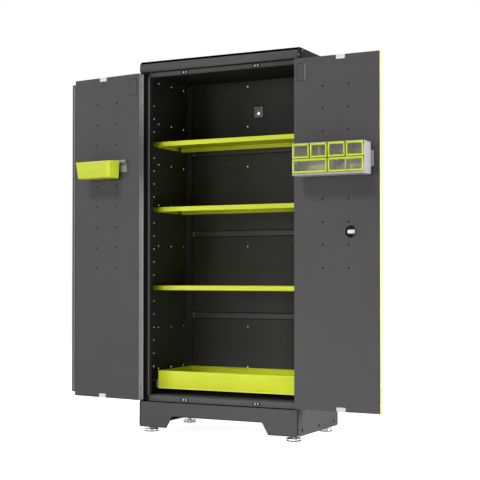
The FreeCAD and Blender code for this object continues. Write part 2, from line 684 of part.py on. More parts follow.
def tray_pan():
    """Open tray with a hem turned in round its top edge."""
    block = box(-TRAY_HALF, TRAY_HALF, TRAY_FRONT, TRAY_BACK, TRAY_BOTTOM, TRAY_TOP)
    inside = TRAY_HALF - SHEET
    hollow = box(-inside, inside, TRAY_FRONT + SHEET, TRAY_BACK - SHEET,
                 TRAY_BOTTOM + SHEET, TRAY_TOP - SHEET)
    mouth = inside - TRAY_HEM
    opening = box(-mouth, mouth, TRAY_FRONT + SHEET + TRAY_HEM, TRAY_BACK - SHEET - TRAY_HEM,
                  TRAY_TOP - SHEET, TRAY_TOP)
    return block.cut(hollow).cut(opening)


def slide_span():
    return TRAY_FRONT + SLIDE_END_GAP, TRAY_BACK - 3 * SLIDE_END_GAP


def slide_channel(back, front, inset, opens_out):
    """A left slide member: a channel whose web faces the cabinet side or the tray."""
    start, end = slide_span()
    low = TRAY_BOTTOM + SLIDE_TRAY_LIFT + inset
    high = TRAY_BOTTOM + SLIDE_TRAY_LIFT + SLIDE_HEIGHT - inset
    block = box(-SLIDE_OUTER + back, -SLIDE_OUTER + front, start, end, low, high)
    inner_back = back if opens_out else back + SLIDE_SHEET
    inner_front = front - SLIDE_SHEET if opens_out else front
    hollow = box(-SLIDE_OUTER + inner_back, -SLIDE_OUTER + inner_front, start, end,
                 low + SLIDE_SHEET, high - SLIDE_SHEET)
    return block.cut(hollow)


def slide_members():
    """Outer, middle and inner channels, each nested in the one before."""
    step = SLIDE_SHEET + SLIDE_RUN_GAP
    outer = slide_channel(0, SLIDE_THICKNESS - 3 * step + SLIDE_SHEET, 0, False)
    middle = slide_channel(step, SLIDE_THICKNESS - step, step, False)
    inner = slide_channel(2 * step, SLIDE_THICKNESS, 2 * step, True)
    return {"slide_outer_members": outer, "slide_middle_members": middle, "slide_inner_members": inner}


def slide_bracket():
    """The left channel that stands the slide off the side, in line with the opening."""
    start, end = slide_span()
    low = TRAY_BOTTOM + SLIDE_TRAY_LIFT
    high = low + SLIDE_HEIGHT
    block = box(-INSIDE, -SLIDE_OUTER, start, end, low, high)
    hollow = box(-INSIDE, -SLIDE_OUTER - FRAME_SHEET, start, end, low + FRAME_SHEET, high - FRAME_SHEET)
    return block.cut(hollow)


# Doors, modelled shut on the left

def door_skin(cutters):
    """The outer pan of a door."""
    depth = DOOR_THICKNESS - SHEET
    block = box(HINGE_EDGE, FREE_EDGE, 0, depth, DOOR_BOTTOM, DOOR_TOP)
    hollow = box(HINGE_EDGE + SHEET, FREE_EDGE - SHEET, SHEET, depth, DOOR_BOTTOM + SHEET, DOOR_TOP - SHEET)
    pins = [rod(-PIVOT_X, PIVOT_FRONT_INSET, z, PIN_RADIUS + SNUG, SHEET, Z_AXIS)
            for z in (DOOR_BOTTOM, DOOR_TOP - SHEET)]
    return drill(block.cut(hollow), pins + cutters)


def door_liner(cutters):
    """The inner sheet of a door, with its accessory holes."""
    face = box(HINGE_EDGE, FREE_EDGE, DOOR_THICKNESS - SHEET, DOOR_THICKNESS, DOOR_BOTTOM, DOOR_TOP)
    holes = []
    for column in range(2):
        x = HINGE_EDGE + DOOR_HOLE_FROM_HINGE + column * ACCESSORY_COLUMN
        for row in range(DOOR_HOLE_COUNT):
            z = DOOR_TOP - DOOR_HOLE_DROP - row * ACCESSORY_ROW
            holes.append(rod(x, DOOR_THICKNESS - SHEET, z, ACCESSORY_HOLE_RADIUS, SHEET, Y_AXIS))
    return drill(face, holes + cutters)


def door_hinges():
    """Pin blocks inside the hinge corners, and the plates on the liner that back them."""
    pieces = []
    plate_x = HINGE_EDGE + HINGE_PLATE_FROM_EDGE
    for end, into in ((DOOR_BOTTOM, 1), (DOOR_TOP, -1)):
        near = end + into * SHEET
        far = near + into * PIN_BLOCK_HEIGHT
        block = box(HINGE_EDGE + SHEET, HINGE_EDGE + SHEET + PIN_BLOCK_WIDTH, SHEET, SHEET + PIN_BLOCK_DEPTH,
                    min(near, far), max(near, far))
        length = SHEET + DOOR_GAP + SHEET + BUSH_DEPTH
        pin = rod(-PIVOT_X, PIVOT_FRONT_INSET, near, PIN_RADIUS, length, Z_AXIS * -into)
        pieces.append(fuse(block, pin))
        top = end + into * HINGE_PLATE_FROM_END
        bottom = top + into * HINGE_PLATE_HEIGHT
        pieces.append(box(plate_x, plate_x + HINGE_PLATE_WIDTH, LINER_FACE, LINER_FACE + HINGE_PLATE_SHEET,
                          min(top, bottom), max(top, bottom)))
    return pieces


def door_strikes():
    """Steel plates that meet the catches."""
    x = -CATCH_FROM_CENTRE
    spans = ((DOOR_BOTTOM + STRIKE_EDGE, DOOR_BOTTOM + STRIKE_EDGE + STRIKE_HEIGHT),
             (DOOR_TOP - STRIKE_EDGE - STRIKE_HEIGHT, DOOR_TOP - STRIKE_EDGE))
    return [box(x - STRIKE_WIDTH / 2, x + STRIKE_WIDTH / 2, LINER_FACE, LINER_FACE + STRIKE_SHEET, low, high)
            for low, high in spans]


def left_door_astragal():
    """Angle on the free edge that laps behind the other door."""
    low = DOOR_BOTTOM + ASTRAGAL_END
    high = DOOR_TOP - ASTRAGAL_END
    lip = LINER_FACE + ASTRAGAL_STAND_OFF
    web = box(FREE_EDGE, FREE_EDGE + SHEET, ASTRAGAL_FRONT, lip + SHEET, low, high)
    return fuse(web, box(FREE_EDGE, FREE_EDGE + ASTRAGAL_REACH, lip, lip + SHEET, low, high))


def right_door_edge_pull():
    """Coloured strip down the free edge."""
    rear = DOOR_THICKNESS - EDGE_PULL_MARGIN
    return box(FREE_EDGE, FREE_EDGE + EDGE_PULL_THICKNESS, rear - EDGE_PULL_WIDTH, rear,
               DOOR_BOTTOM, DOOR_TOP)


# Lock, modelled shut on the left and unlocked

def lock_barrel():
    """Barrel through the skin, with its collar outside and its nut inside."""
    collar = rod(LOCK_X, 0, LOCK_Z, BARREL_FLANGE_RADIUS, BARREL_FLANGE, Y_AXIS * -1)
    tube = rod(LOCK_X, 0, LOCK_Z, BARREL_RADIUS, SHEET + BARREL_LENGTH, Y_AXIS)
    nut = rod(LOCK_X, SHEET, LOCK_Z, BARREL_FLANGE_RADIUS, 2 * BARREL_FLANGE, Y_AXIS)
    bore = rod(LOCK_X, -BARREL_FLANGE, LOCK_Z, SPINDLE_RADIUS + PIN_RUNNING_GAP,
               BARREL_FLANGE + SHEET + BARREL_LENGTH, Y_AXIS)
    return fuse(collar, tube, nut).cut(bore)


def cam_pins():
    """Places of the two cam pins when unlocked: the rod's side and the pin's centre."""
    arm = CAM_PIN_CIRCLE * math.sin(math.radians(45))
    return {-1: (LOCK_X - arm, LOCK_Z - arm), 1: (LOCK_X + arm, LOCK_Z + arm)}


def lock_knob():
    """Turn knob, spindle and cam in one piece."""
    face = -BARREL_FLANGE - FIT
    dial = rod(LOCK_X, face, LOCK_Z, KNOB_RADIUS, KNOB_DEPTH, Y_AXIS * -1)
    grip = box(LOCK_X - KNOB_GRIP_WIDTH / 2, LOCK_X + KNOB_GRIP_WIDTH / 2,
               face - KNOB_DEPTH - KNOB_GRIP_DEPTH, face - KNOB_DEPTH,
               LOCK_Z - 0.8 * KNOB_RADIUS, LOCK_Z + 0.8 * KNOB_RADIUS)
    spindle = rod(LOCK_X, face, LOCK_Z, SPINDLE_RADIUS, CAM_BACK + CAM_THICKNESS - face, Y_AXIS)
    cam = rod(LOCK_X, CAM_BACK, LOCK_Z, CAM_RADIUS, CAM_THICKNESS, Y_AXIS)
    reach = CAM_THICKNESS + FIT + ROD_THICKNESS
    pins = [rod(x, CAM_BACK, z, CAM_PIN_RADIUS, reach, Y_AXIS) for x, z in cam_pins().values()]
    return fuse(dial, grip, spindle, cam, *pins)


def lock_rod(side, end):
    """A flat rod from its yoke on the cam to the door's upper or lower edge."""
    rear = ROD_FRONT + ROD_THICKNESS
    pin_x, pin_z = cam_pins()[side]
    swing = CAM_PIN_CIRCLE - abs(pin_x - LOCK_X)
    near = pin_x - side * (CAM_PIN_RADIUS + YOKE_SLACK)
    far = pin_x + side * (swing + CAM_PIN_RADIUS + YOKE_SLACK)
    tall = CAM_PIN_RADIUS + YOKE_SLACK
    yoke = box(near - side * YOKE_MARGIN, far + side * YOKE_MARGIN, ROD_FRONT, rear,
               pin_z - tall - YOKE_MARGIN, pin_z + tall + YOKE_MARGIN)
    slot = box(near, far, ROD_FRONT, rear, pin_z - tall, pin_z + tall)
    x = LOCK_X + side * ROD_OFFSET
    start = pin_z - side * (tall + YOKE_MARGIN)
    bar = box(x - ROD_WIDTH / 2, x + ROD_WIDTH / 2, ROD_FRONT, rear, min(start, end), max(start, end))
    return fuse(yoke.cut(slot), bar)


def rod_ports():
    """Slots in the door's upper and lower edges for the lock rods."""
    ports = []
    for side, z in ((-1, DOOR_TOP - SHEET), (1, DOOR_BOTTOM)):
        x = LOCK_X + side * ROD_OFFSET
        ports.append(box(x - ROD_WIDTH / 2 - FIT, x + ROD_WIDTH / 2 + FIT, ROD_FRONT - FIT,
                         ROD_FRONT + ROD_THICKNESS + FIT, z, z + SHEET))
    return ports


# Bin on the left door

def bin_outline(left, right, rear, front, z, radius):
    """A level outline with square rear corners and rounded front ones."""
    bend = radius * (1 - math.sqrt(0.5))
    points = [(left, rear), (right, rear), (right, front - radius), (right - bend, front - bend),
              (right - radius, front), (left + radius, front), (left + bend, front - bend),
              (left, front - radius)]
    at = [FreeCAD.Vector(x, y, z) for x, y in points]
    edges = [Part.LineSegment(at[0], at[1]), Part.LineSegment(at[1], at[2]), Part.Arc(at[2], at[3], at[4]),
             Part.LineSegment(at[4], at[5]), Part.Arc(at[5], at[6], at[7]), Part.LineSegment(at[7], at[0])]
    return Part.Wire([edge.toShape() for edge in edges])


def bin_block(inset, bottom, top):
    """The bin's tapered form, drawn in by a wall thickness."""
    left = HINGE_EDGE + BIN_FROM_HINGE + inset
    right = left + BIN_WIDTH - 2 * inset
    rear = LINER_FACE + BIN_STAND_OFF + inset
    front = LINER_FACE + BIN_STAND_OFF + BIN_DEPTH - inset
    outlines = []
    for z, share, bevel in ((bottom, 1, BIN_FOOT_BEVEL), (bottom + BIN_FOOT_BEVEL, 0.95, 0), (top, 0, 0)):
        side = share * BIN_SIDE_TAPER + bevel
        nose = share * BIN_FRONT_TAPER + bevel
        outlines.append(bin_outline(left + side, right - side, rear + bevel, front - nose, z,
                                    BIN_CORNER - inset))
    return Part.makeLoft(outlines, True, True)


def bin_rim_wedge(top):
    """What is cut away so that the rim falls from the back wall to the front."""
    left = HINGE_EDGE + BIN_FROM_HINGE
    rear = LINER_FACE + BIN_STAND_OFF
    outline = [(left, rear, top + BIN_BACK_RISE), (left, rear + BIN_DEPTH, top),
               (left, rear + BIN_DEPTH, top + BIN_BACK_RISE)]
    return prism(outline, X_AXIS * BIN_WIDTH)


def storage_bin():
    """Tapered open bin with two hooks over its bracket."""
    rim = GEAR_LEVEL + BIN_TOP_OVER_ROW
    bottom = rim - BIN_HEIGHT
    top = rim + BIN_BACK_RISE
    shell = bin_block(0, bottom, top).cut(bin_block(BIN_WALL, bottom + BIN_WALL, top)).cut(bin_rim_wedge(rim))
    rear = LINER_FACE + BIN_STAND_OFF
    rest = GEAR_LEVEL + BRACKET_OVER_ROW + SNUG
    middle = HINGE_EDGE + BIN_FROM_HINGE + BIN_WIDTH / 2
    hooks = []
    for s in SIDES:
        x = middle + s * HOOK_SPACING / 2
        low, high = x - HOOK_WIDTH / 2, x + HOOK_WIDTH / 2
        hooks.append(box(low, high, rear, rear + BIN_WALL, top - BIN_WALL, rest + BIN_WALL))
        hooks.append(box(low, high, rear - BRACKET_LIP / 2, rear, rest, rest + BIN_WALL))
    return fuse(shell, *hooks)


def bin_bracket():
    """Plate on the liner with a lip turned out and down, for the bin to hang on."""
    left = HINGE_EDGE + BIN_FROM_HINGE - BRACKET_OVERHANG
    right = HINGE_EDGE + BIN_FROM_HINGE + BIN_WIDTH
    high = GEAR_LEVEL + BRACKET_OVER_ROW
    front = LINER_FACE + BIN_STAND_OFF
    plate = box(left, right, LINER_FACE, LINER_FACE + FRAME_SHEET, high - BRACKET_HEIGHT, high)
    shelf_lip = box(left, right, LINER_FACE, front, high - FRAME_SHEET, high)
    apron = box(left, right, front - FRAME_SHEET, front, high - BRACKET_LIP, high)
    return fuse(plate, shelf_lip, apron)


# Organizer on the right door, modelled shut on the left

def organizer_bounds():
    """Hinge-side and free-side faces, back and front, bottom and top of the housing."""
    high = GEAR_LEVEL + ORGANIZER_OVER_ROW
    back = LINER_FACE + ORGANIZER_PLATE
    return (HINGE_EDGE + ORGANIZER_HINGE_MARGIN, FREE_EDGE - ORGANIZER_FREE_MARGIN,
            back, back + ORGANIZER_DEPTH, high - ORGANIZER_HEIGHT, high)


def drawer_cells():
    """The openings for the drawers: name to X and Z limits, small ones over wide ones."""
    x0, x1, back, front, z0, z1 = organizer_bounds()
    wall = ORGANIZER_WALL
    clear = z1 - z0 - 3 * wall
    split = z0 + wall + clear * (1 - UPPER_ROW_SHARE)
    cells = {}
    for name, count, low, high in (("small_drawer", UPPER_DRAWER_COUNT, split + wall, z1 - wall),
                                   ("wide_drawer", LOWER_DRAWER_COUNT, z0 + wall, split)):
        pitch = (x1 - x0 - wall) / count
        for k in range(count):
            start = x0 + wall + k * pitch
            cells[f"{name}_{k + 1}"] = (start, start + pitch - wall, low, high)
    return cells


def organizer_housing():
    """Moulded housing with a cell for each drawer."""
    x0, x1, back, front, z0, z1 = organizer_bounds()
    outlines = []
    for y, inset in ((back, ORGANIZER_REAR_CHAMFER), (back + ORGANIZER_REAR_CHAMFER, 0), (front, 0)):
        corners = [(x0 + inset, y, z0 + inset), (x1 - inset, y, z0 + inset),
                   (x1 - inset, y, z1 - inset), (x0 + inset, y, z1 - inset)]
        outlines.append(rounded_outline(corners, ORGANIZER_CORNER))
    block = Part.makeLoft(outlines, True, True)
    cells = [box(low, high, back + ORGANIZER_BACK, front, bottom, top)
             for low, high, bottom, top in drawer_cells().values()]
    return drill(block, cells)


def organizer_bracket():
    """The plate behind the organizer, with a finger tab at the door's free side."""
    x0, x1, back, front, z0, z1 = organizer_bounds()
    margin = ORGANIZER_PLATE_MARGIN
    plate = box(x0 + margin, x1 - margin, LINER_FACE, back, z0 + margin, z1 - margin)
    middle = (z0 + z1) / 2
    tab = box(x1 - margin, x1 + ORGANIZER_TAB_REACH, LINER_FACE, back,
              middle - ORGANIZER_TAB_HEIGHT / 2, middle + ORGANIZER_TAB_HEIGHT / 2)
    return fuse(plate, tab)


def drawer(cell, divided):
    """A drawer with a framed window in its front and a grip along its top edge."""
    x0, x1, z0, z1 = cell
    back = LINER_FACE + ORGANIZER_PLATE + ORGANIZER_BACK + DRAWER_BACK_GAP
    front = LINER_FACE + ORGANIZER_PLATE + ORGANIZER_DEPTH + DRAWER_PROUD
    x0, x1 = x0 + DRAWER_GAP, x1 - DRAWER_GAP
    z0, z1 = z0 + SNUG, z1 - DRAWER_GAP
    body = box(x0, x1, back, front, z0, z1)
    hollow = box(x0 + DRAWER_WALL, x1 - DRAWER_WALL, back + DRAWER_WALL, front - DRAWER_FRONT,
                 z0 + DRAWER_WALL, z1)
    window = box(x0 + WINDOW_SIDE, x1 - WINDOW_SIDE, front - DRAWER_FRONT, front,
                 z0 + WINDOW_BOTTOM, z1 - WINDOW_TOP)
    grip = box(x0, x1, front, front + GRIP_DEPTH, z1 - GRIP_HEIGHT, z1)
    shell = fuse(body.cut(hollow).cut(window), grip)
    if divided:
        middle = (x0 + x1) / 2
        shell = fuse(shell, box(middle - DRAWER_WALL / 2, middle + DRAWER_WALL / 2, back + DRAWER_WALL / 2,
                                front - DRAWER_FRONT, z0 + DRAWER_WALL, z1 - WINDOW_TOP / 2))
    pane_back = front - DRAWER_FRONT
    pane = box(x0 + WINDOW_SIDE, x1 - WINDOW_SIDE, pane_back, pane_back + WINDOW_PANE,
               z0 + WINDOW_BOTTOM, z1 - WINDOW_TOP)
    return [shell, pane]


# Assembly

def cabinet_nodes():
    nodes = {"left_side_panel": [side_panel()], "right_side_panel": [mirrored(side_panel())],
             "front_posts": both_sides(front_post()), "rear_posts": both_sides(rear_post()),
             "back_joint_strips": back_joint_strips(), "roof_panel": [pivot_deck(CAP_BOTTOM)],
             "base_deck": [pivot_deck(BASE_TOP - SHEET)], "floor_panel": [floor_panel()],
             "face_rails": face_rails(), "top_cap": [top_cap()],
             "base_front_apron": [base_front_apron()], "base_side_aprons": both_sides(base_side_apron()),
             "base_rear_apron": [base_rear_apron()], "foot_rails": both_sides(foot_rail()),
             "magnetic_catches": [magnetic_catch(x, z) for x, z in catch_places()],
             "pivot_bushes": pivot_bushes(), "cable_port": [cable_port()],
             "panel_screws": panel_screws(), "shelf_clips": shelf_clips(),
             "slide_brackets": both_sides(slide_bracket()), "tray_pan": [tray_pan()]}
    nodes.update({name: [panel] for name, panel in back_panels().items()})
    nodes.update({name: [shelf(row)] for name, row in SHELF_ROWS.items()})
    nodes.update({name: both_sides(member) for name, member in slide_members().items()})
    for side, word in zip(SIDES, ("left", "right")):
        for end, y in foot_depths().items():
            nodes[f"foot_{end}_{word}"] = [foot(side * (HALF - FOOT_SIDE_INSET), y)]
    return nodes


def left_door_nodes():
    return {"left_door_skin": [door_skin([])], "left_door_liner": [door_liner([])],
            "left_door_hinges": door_hinges(), "left_door_strikes": door_strikes(),
            "left_door_astragal": [left_door_astragal()], "bin_bracket": [bin_bracket()],
            "storage_bin": [storage_bin()]}


def right_door_nodes():
    """Pieces of the right door, still drawn on the left."""
    barrel_hole = rod(LOCK_X, 0, LOCK_Z, BARREL_RADIUS + SNUG, SHEET, Y_AXIS)
    access = rod(LOCK_X, DOOR_THICKNESS - SHEET, LOCK_Z, LOCK_ACCESS_RADIUS, SHEET, Y_AXIS)
    nodes = {"right_door_skin": [door_skin([barrel_hole] + rod_ports())],
             "right_door_liner": [door_liner([access])], "right_door_hinges": door_hinges(),
             "right_door_strikes": door_strikes(), "right_door_edge_pull": [right_door_edge_pull()],
             "lock_barrel": [lock_barrel()], "lock_knob": [lock_knob()],
             "lock_rod_upper": [lock_rod(-1, DOOR_TOP - ROD_END_GAP)],
             "lock_rod_lower": [lock_rod(1, DOOR_BOTTOM + ROD_END_GAP)],
             "organizer_bracket": [organizer_bracket()], "organizer_housing": [organizer_housing()]}
    divided = ("small_drawer_2", "wide_drawer_2")
    for name, cell in drawer_cells().items():
        nodes[name] = drawer(cell, name in divided)
    return nodes


def swung(shape, side, angle):
    """A door piece turned open about its pivot."""
    turned = shape.copy()
    turned.rotate(FreeCAD.Vector(side * PIVOT_X, PIVOT_FRONT_INSET, 0), Z_AXIS, side * angle)
    return turned


def assemble():
    nodes = cabinet_nodes()
    for name, shapes in left_door_nodes().items():
        nodes[name] = [swung(s, -1, LEFT_OPEN_ANGLE) for s in shapes]
    for name, shapes in right_door_nodes().items():
        nodes[name] = [swung(mirrored(s), 1, RIGHT_OPEN_ANGLE) for s in shapes]
    return nodes


def write(nodes):
    os.makedirs("parts", exist_ok=True)
    for name, shapes in nodes.items():
        solids = [solid for shape in shapes for solid in shape.Solids]
        for solid in solids:
            solid.translate(FreeCAD.Vector(0, -ORIGIN_DEPTH, 0))
        piece = solids[0] if len(solids) == 1 else Part.makeCompound(solids)
        if not piece.isValid() or len(solids) != len(shapes):
            print("check", name, len(solids), "solids for", len(shapes), "valid", piece.isValid())
        piece.exportStep(f"parts/{name}.step")
    print(len(nodes), "pieces written, origin", round(ORIGIN_DEPTH, 2), "mm behind the front")


write(assemble())
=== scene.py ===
# %% [markdown]
# # A steel garage cabinet, dressed for a studio picture
# The cabinet arrives as a imported CAD model: every sheet, post, slide and door is already in its true place.
# Loading it first means that nothing here has to be fitted by eye. The size of the whole model is kept,
# and the height of its top places the strip on the top's bevel further on.

# %% Load the cabinet
import json
import math

import bmesh
import bpy
from mathutils import Matrix, Vector


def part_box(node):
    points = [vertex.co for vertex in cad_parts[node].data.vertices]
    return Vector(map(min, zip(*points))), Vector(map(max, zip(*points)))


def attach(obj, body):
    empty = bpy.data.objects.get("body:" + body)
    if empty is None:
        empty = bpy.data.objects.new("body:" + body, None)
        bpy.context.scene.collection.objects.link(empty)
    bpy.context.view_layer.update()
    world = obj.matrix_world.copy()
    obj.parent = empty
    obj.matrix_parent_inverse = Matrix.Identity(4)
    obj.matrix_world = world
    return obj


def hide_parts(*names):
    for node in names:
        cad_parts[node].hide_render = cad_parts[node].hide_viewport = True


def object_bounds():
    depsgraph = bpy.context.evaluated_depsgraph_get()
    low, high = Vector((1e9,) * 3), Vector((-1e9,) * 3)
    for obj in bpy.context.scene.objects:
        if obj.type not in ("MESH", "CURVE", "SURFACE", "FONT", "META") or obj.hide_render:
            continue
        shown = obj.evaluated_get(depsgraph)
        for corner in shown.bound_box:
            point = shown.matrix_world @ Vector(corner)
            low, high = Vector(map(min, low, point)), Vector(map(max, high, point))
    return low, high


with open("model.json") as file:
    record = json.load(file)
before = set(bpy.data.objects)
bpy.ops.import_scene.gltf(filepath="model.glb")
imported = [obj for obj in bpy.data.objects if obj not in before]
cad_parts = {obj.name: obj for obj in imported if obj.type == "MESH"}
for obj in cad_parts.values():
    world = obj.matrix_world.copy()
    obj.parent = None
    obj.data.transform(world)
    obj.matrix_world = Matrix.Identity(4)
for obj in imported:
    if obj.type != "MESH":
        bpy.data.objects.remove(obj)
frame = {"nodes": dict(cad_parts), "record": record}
NODES = frame["nodes"]
BODY_OF = {node: body for body, nodes in frame["record"]["behaviour"]["bodies"].items() for node in nodes}
CAD_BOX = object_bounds()
scene = bpy.context.scene

# %% [markdown]
# ## The camera
# The picture was taken from the right, from about table height, with a long lens. The place, turn and lens
# were worked out from the cabinet's own straight edges. A small upward shift keeps the uprights nearly
# parallel, as a product photographer would do with a shift lens.

# %% Camera
CAMERA_PLACE = (2.5445, -4.9693, 0.7656)
CAMERA_YAW = math.radians(26.77)
CAMERA_TILT = math.radians(1.19)
FOCAL_PIXELS, SHIFT_PIXELS, PICTURE_PIXELS, SENSOR = 1135.08, 12.43, 480.0, 36.0
camera_data = bpy.data.cameras.new("studio_camera")
camera_data.sensor_width = SENSOR
camera_data.lens = FOCAL_PIXELS * SENSOR / PICTURE_PIXELS
camera_data.shift_y = SHIFT_PIXELS / PICTURE_PIXELS
camera = bpy.data.objects.new("studio_camera", camera_data)
camera.location = CAMERA_PLACE
camera.rotation_euler = (math.radians(90) + CAMERA_TILT, 0.0, CAMERA_YAW)
scene.collection.objects.link(camera)
scene.camera = camera
print("camera lens", round(camera_data.lens, 1), "mm")

# %% [markdown]
# ## Writing shaders as sums
# A finish is a small network of nodes. Adding and linking nodes one by one hides the idea, so one class
# wraps an output socket: `+`, `-` and `*` add the Math nodes, `blend` mixes two colours, and `node` adds
# any other node, with its settings first and then the values or links of its sockets.

# %% The shader helper
class Wire:
    """An output socket that takes part in arithmetic."""

    def __init__(self, tree, socket=None):
        self.tree = tree
        self.socket = socket

    def node(self, kind, settings=None, values=None, out=0):
        made = self.tree.nodes.new(kind)
        for name, value in (settings or {}).items():
            setattr(made, name, value)
        for key, value in (values or {}).items():
            self.feed(made.inputs[key], value)
        return Wire(self.tree, made.outputs[out])

    def feed(self, target, value):
        if isinstance(value, Wire):
            self.tree.links.new(value.socket, target)
        else:
            target.default_value = value

    def math(self, operation, first, second):
        return self.node("ShaderNodeMath", {"operation": operation}, {0: first, 1: second})

    def __add__(self, other):
        return self.math("ADD", self, other)

    def __sub__(self, other):
        return self.math("SUBTRACT", self, other)

    def __mul__(self, other):
        return self.math("MULTIPLY", self, other)

    __radd__ = __add__
    __rmul__ = __mul__

    def maximum(self, other):
        return self.math("MAXIMUM", self, other)

    def band(self, low, high):
        """0 below low, 1 above high and a smooth rise between them."""
        values = {"Value": self, "From Min": low, "From Max": high}
        return self.node("ShaderNodeMapRange", {"interpolation_type": "SMOOTHSTEP"}, values)

    def blend(self, dark, light):
        """Mix two colours by this value."""
        values = {0: self, 6: (*dark, 1.0), 7: (*light, 1.0)}
        return self.node("ShaderNodeMix", {"data_type": "RGBA"}, values, out=2)

    def noise(self, scale, detail=2.0, roughness=0.5):
        values = {"Vector": self, "Scale": scale, "Detail": detail, "Roughness": roughness}
        return self.node("ShaderNodeTexNoise", None, values)

    def bump(self, strength, distance):
        values = {"Height": self, "Strength": strength, "Distance": distance}
        return self.node("ShaderNodeBump", None, values)


def shades(colour, darker, lighter):
    """Two shades of a colour, a little darker and a little lighter than it."""
    return [c * darker for c in colour], [min(c * lighter, 1.0) for c in colour]


def blank_finish(name):
    """A new material, with its shader and the place of each point on the piece."""
    material = bpy.data.materials.new(name)
    material.use_nodes = True
    tree = material.node_tree
    shader = tree.nodes["Principled BSDF"].inputs
    place = Wire(tree).node("ShaderNodeTexCoord", out="Object")
    return material, shader, place


print("shader helper ready")

# %% [markdown]
# ## Powder coat
# The steel is sprayed with dry paint and baked, which leaves a fine orange-peel skin: dull, with a soft
# sheen. A fine noise gives the peel as bump and as a spread of roughness, and a broad noise moves the tone
# a little, as paint thickness and handling do. The same recipe gives every paint here: charcoal doors and
# the lime shelves and tray, then darker charcoal as painted shade on walls, posts and roof, lighter greys as
# painted light and painted highlights on rails and edges, and a brighter lime as a painted highlight on the
# tray.

# %% Paint finishes
def powder_coat(name, colour, roughness, sheen, peel_scale=700.0, peel_depth=0.0002):
    material, shader, place = blank_finish(name)
    peel = place.noise(peel_scale, 2.0, 0.55)
    cloud = place.noise(4.0, 4.0, 0.6)
    smudge = place.noise(17.0, 3.0, 0.5).band(0.52, 0.75)
    tone = (cloud * 0.75 + peel * 0.25).band(0.2, 0.8)
    place.feed(shader["Base Color"], tone.blend(*shades(colour, 0.93, 1.07)))
    place.feed(shader["Roughness"], roughness + (peel - 0.5) * 0.12 - smudge * 0.03)
    place.feed(shader["Normal"], peel.bump(0.35, peel_depth))
    shader["Specular IOR Level"].default_value = sheen
    return material


CHARCOAL = powder_coat("charcoal_powder_coat", (0.072, 0.072, 0.074), 0.6, 0.12)
# Darker than the charcoal: painted shade on the posts, the roof, the ends of the top and the base hem.
SHADE_COAT = powder_coat("painted_shade_powder_coat", (0.020, 0.020, 0.021), 0.65, 0.04)
# Darker than the charcoal: painted shade on the walls, rear posts and back inside the cabinet.
WALL_SHADE_COAT = powder_coat("wall_shade_powder_coat", (0.050, 0.050, 0.052), 0.62, 0.06)
# Lighter than the charcoal: painted light on the face rails.
RAIL_LIGHT_COAT = powder_coat("rail_painted_light_coat", (0.098, 0.098, 0.100), 0.55, 0.15)
# Lighter than the charcoal: a painted highlight on the post beads.
POST_HIGHLIGHT_COAT = powder_coat("post_highlight_paint", (0.120, 0.120, 0.123), 0.55, 0.2)
LIME_PAINT = powder_coat("lime_powder_coat", (0.62, 0.69, 0.024), 0.45, 0.25, 900.0, 0.0001)
# Lighter grey: painted light on the hinge edges, and painted highlights on the stiffener and the door bead.
EDGE_HIGHLIGHT_COAT = powder_coat("edge_highlight_paint", (0.19, 0.19, 0.195), 0.55, 0.2)
# Paler grey: a painted highlight along the front of each hinge edge.
PALE_HIGHLIGHT_COAT = powder_coat("pale_highlight_paint", (0.33, 0.33, 0.335), 0.5, 0.25)
# Brighter lime: a painted highlight along the tray's lower edge.
LIME_HIGHLIGHT_COAT = powder_coat("lime_highlight_coat", (0.82, 0.86, 0.12), 0.4, 0.3, 900.0, 0.0001)
BRACKET_PAINT = powder_coat("bracket_grey_paint", (0.27, 0.27, 0.28), 0.5, 0.25)
print("paints:", CHARCOAL.name, LIME_PAINT.name, BRACKET_PAINT.name)

# %% [markdown]
# ## Moulded plastic
# The bin, the drawers, the edge pull and the drawer housing are moulded. A steel mould leaves an even satin
# skin with a very fine grain, and long flow marks that show faintly in tone and gloss. A thin clear coat
# gives the lime plastic its wet-looking edges without making the whole surface a mirror. Grey and black
# plastic and rubber use the same recipe without a coat.

# %% Plastic finishes
def moulded(name, colour, roughness, coat, sheen=0.5):
    material, shader, place = blank_finish(name)
    grain = place.noise(1800.0, 1.0, 0.5)
    stretched = place.node("ShaderNodeMapping", None, {"Vector": place, "Scale": (9.0, 9.0, 60.0)})
    flow = stretched.noise(1.0, 3.0, 0.6)
    place.feed(shader["Base Color"], flow.band(0.25, 0.75).blend(*shades(colour, 0.95, 1.05)))
    place.feed(shader["Roughness"], roughness + (flow - 0.5) * 0.12 + (grain - 0.5) * 0.06)
    place.feed(shader["Normal"], grain.bump(0.12, 0.00008))
    shader["Specular IOR Level"].default_value = sheen
    shader["Coat Weight"].default_value = coat
    shader["Coat Roughness"].default_value = 0.12
    return material


LIME_PLASTIC = moulded("lime_moulded_plastic", (0.54, 0.62, 0.022), 0.42, 0.10, 0.3)
# Paler than the lime plastic: painted light on the edge pull.
LIME_PAINTED_LIGHT = moulded("lime_plastic_painted_light", (0.86, 0.88, 0.32), 0.34, 0.2)
GREY_PLASTIC = moulded("light_grey_plastic", (0.36, 0.36, 0.38), 0.46, 0.0)
# Black plastic parts, and also black slabs of painted shade and shadow in gaps and round plates.
BLACK_PLASTIC_AND_SHADE = moulded("black_plastic", (0.008, 0.008, 0.009), 0.55, 0.0, 0.1)
# Black rubber caps and soles, and also black slabs of painted shade at seams, bevel, strips and groove.
BLACK_RUBBER_AND_SHADE = moulded("black_rubber_and_painted_shade", (0.003, 0.003, 0.003), 0.9, 0.0, 0.0)
PORT_GREY = moulded("port_grey_plastic", (0.10, 0.10, 0.10), 0.5, 0.0)


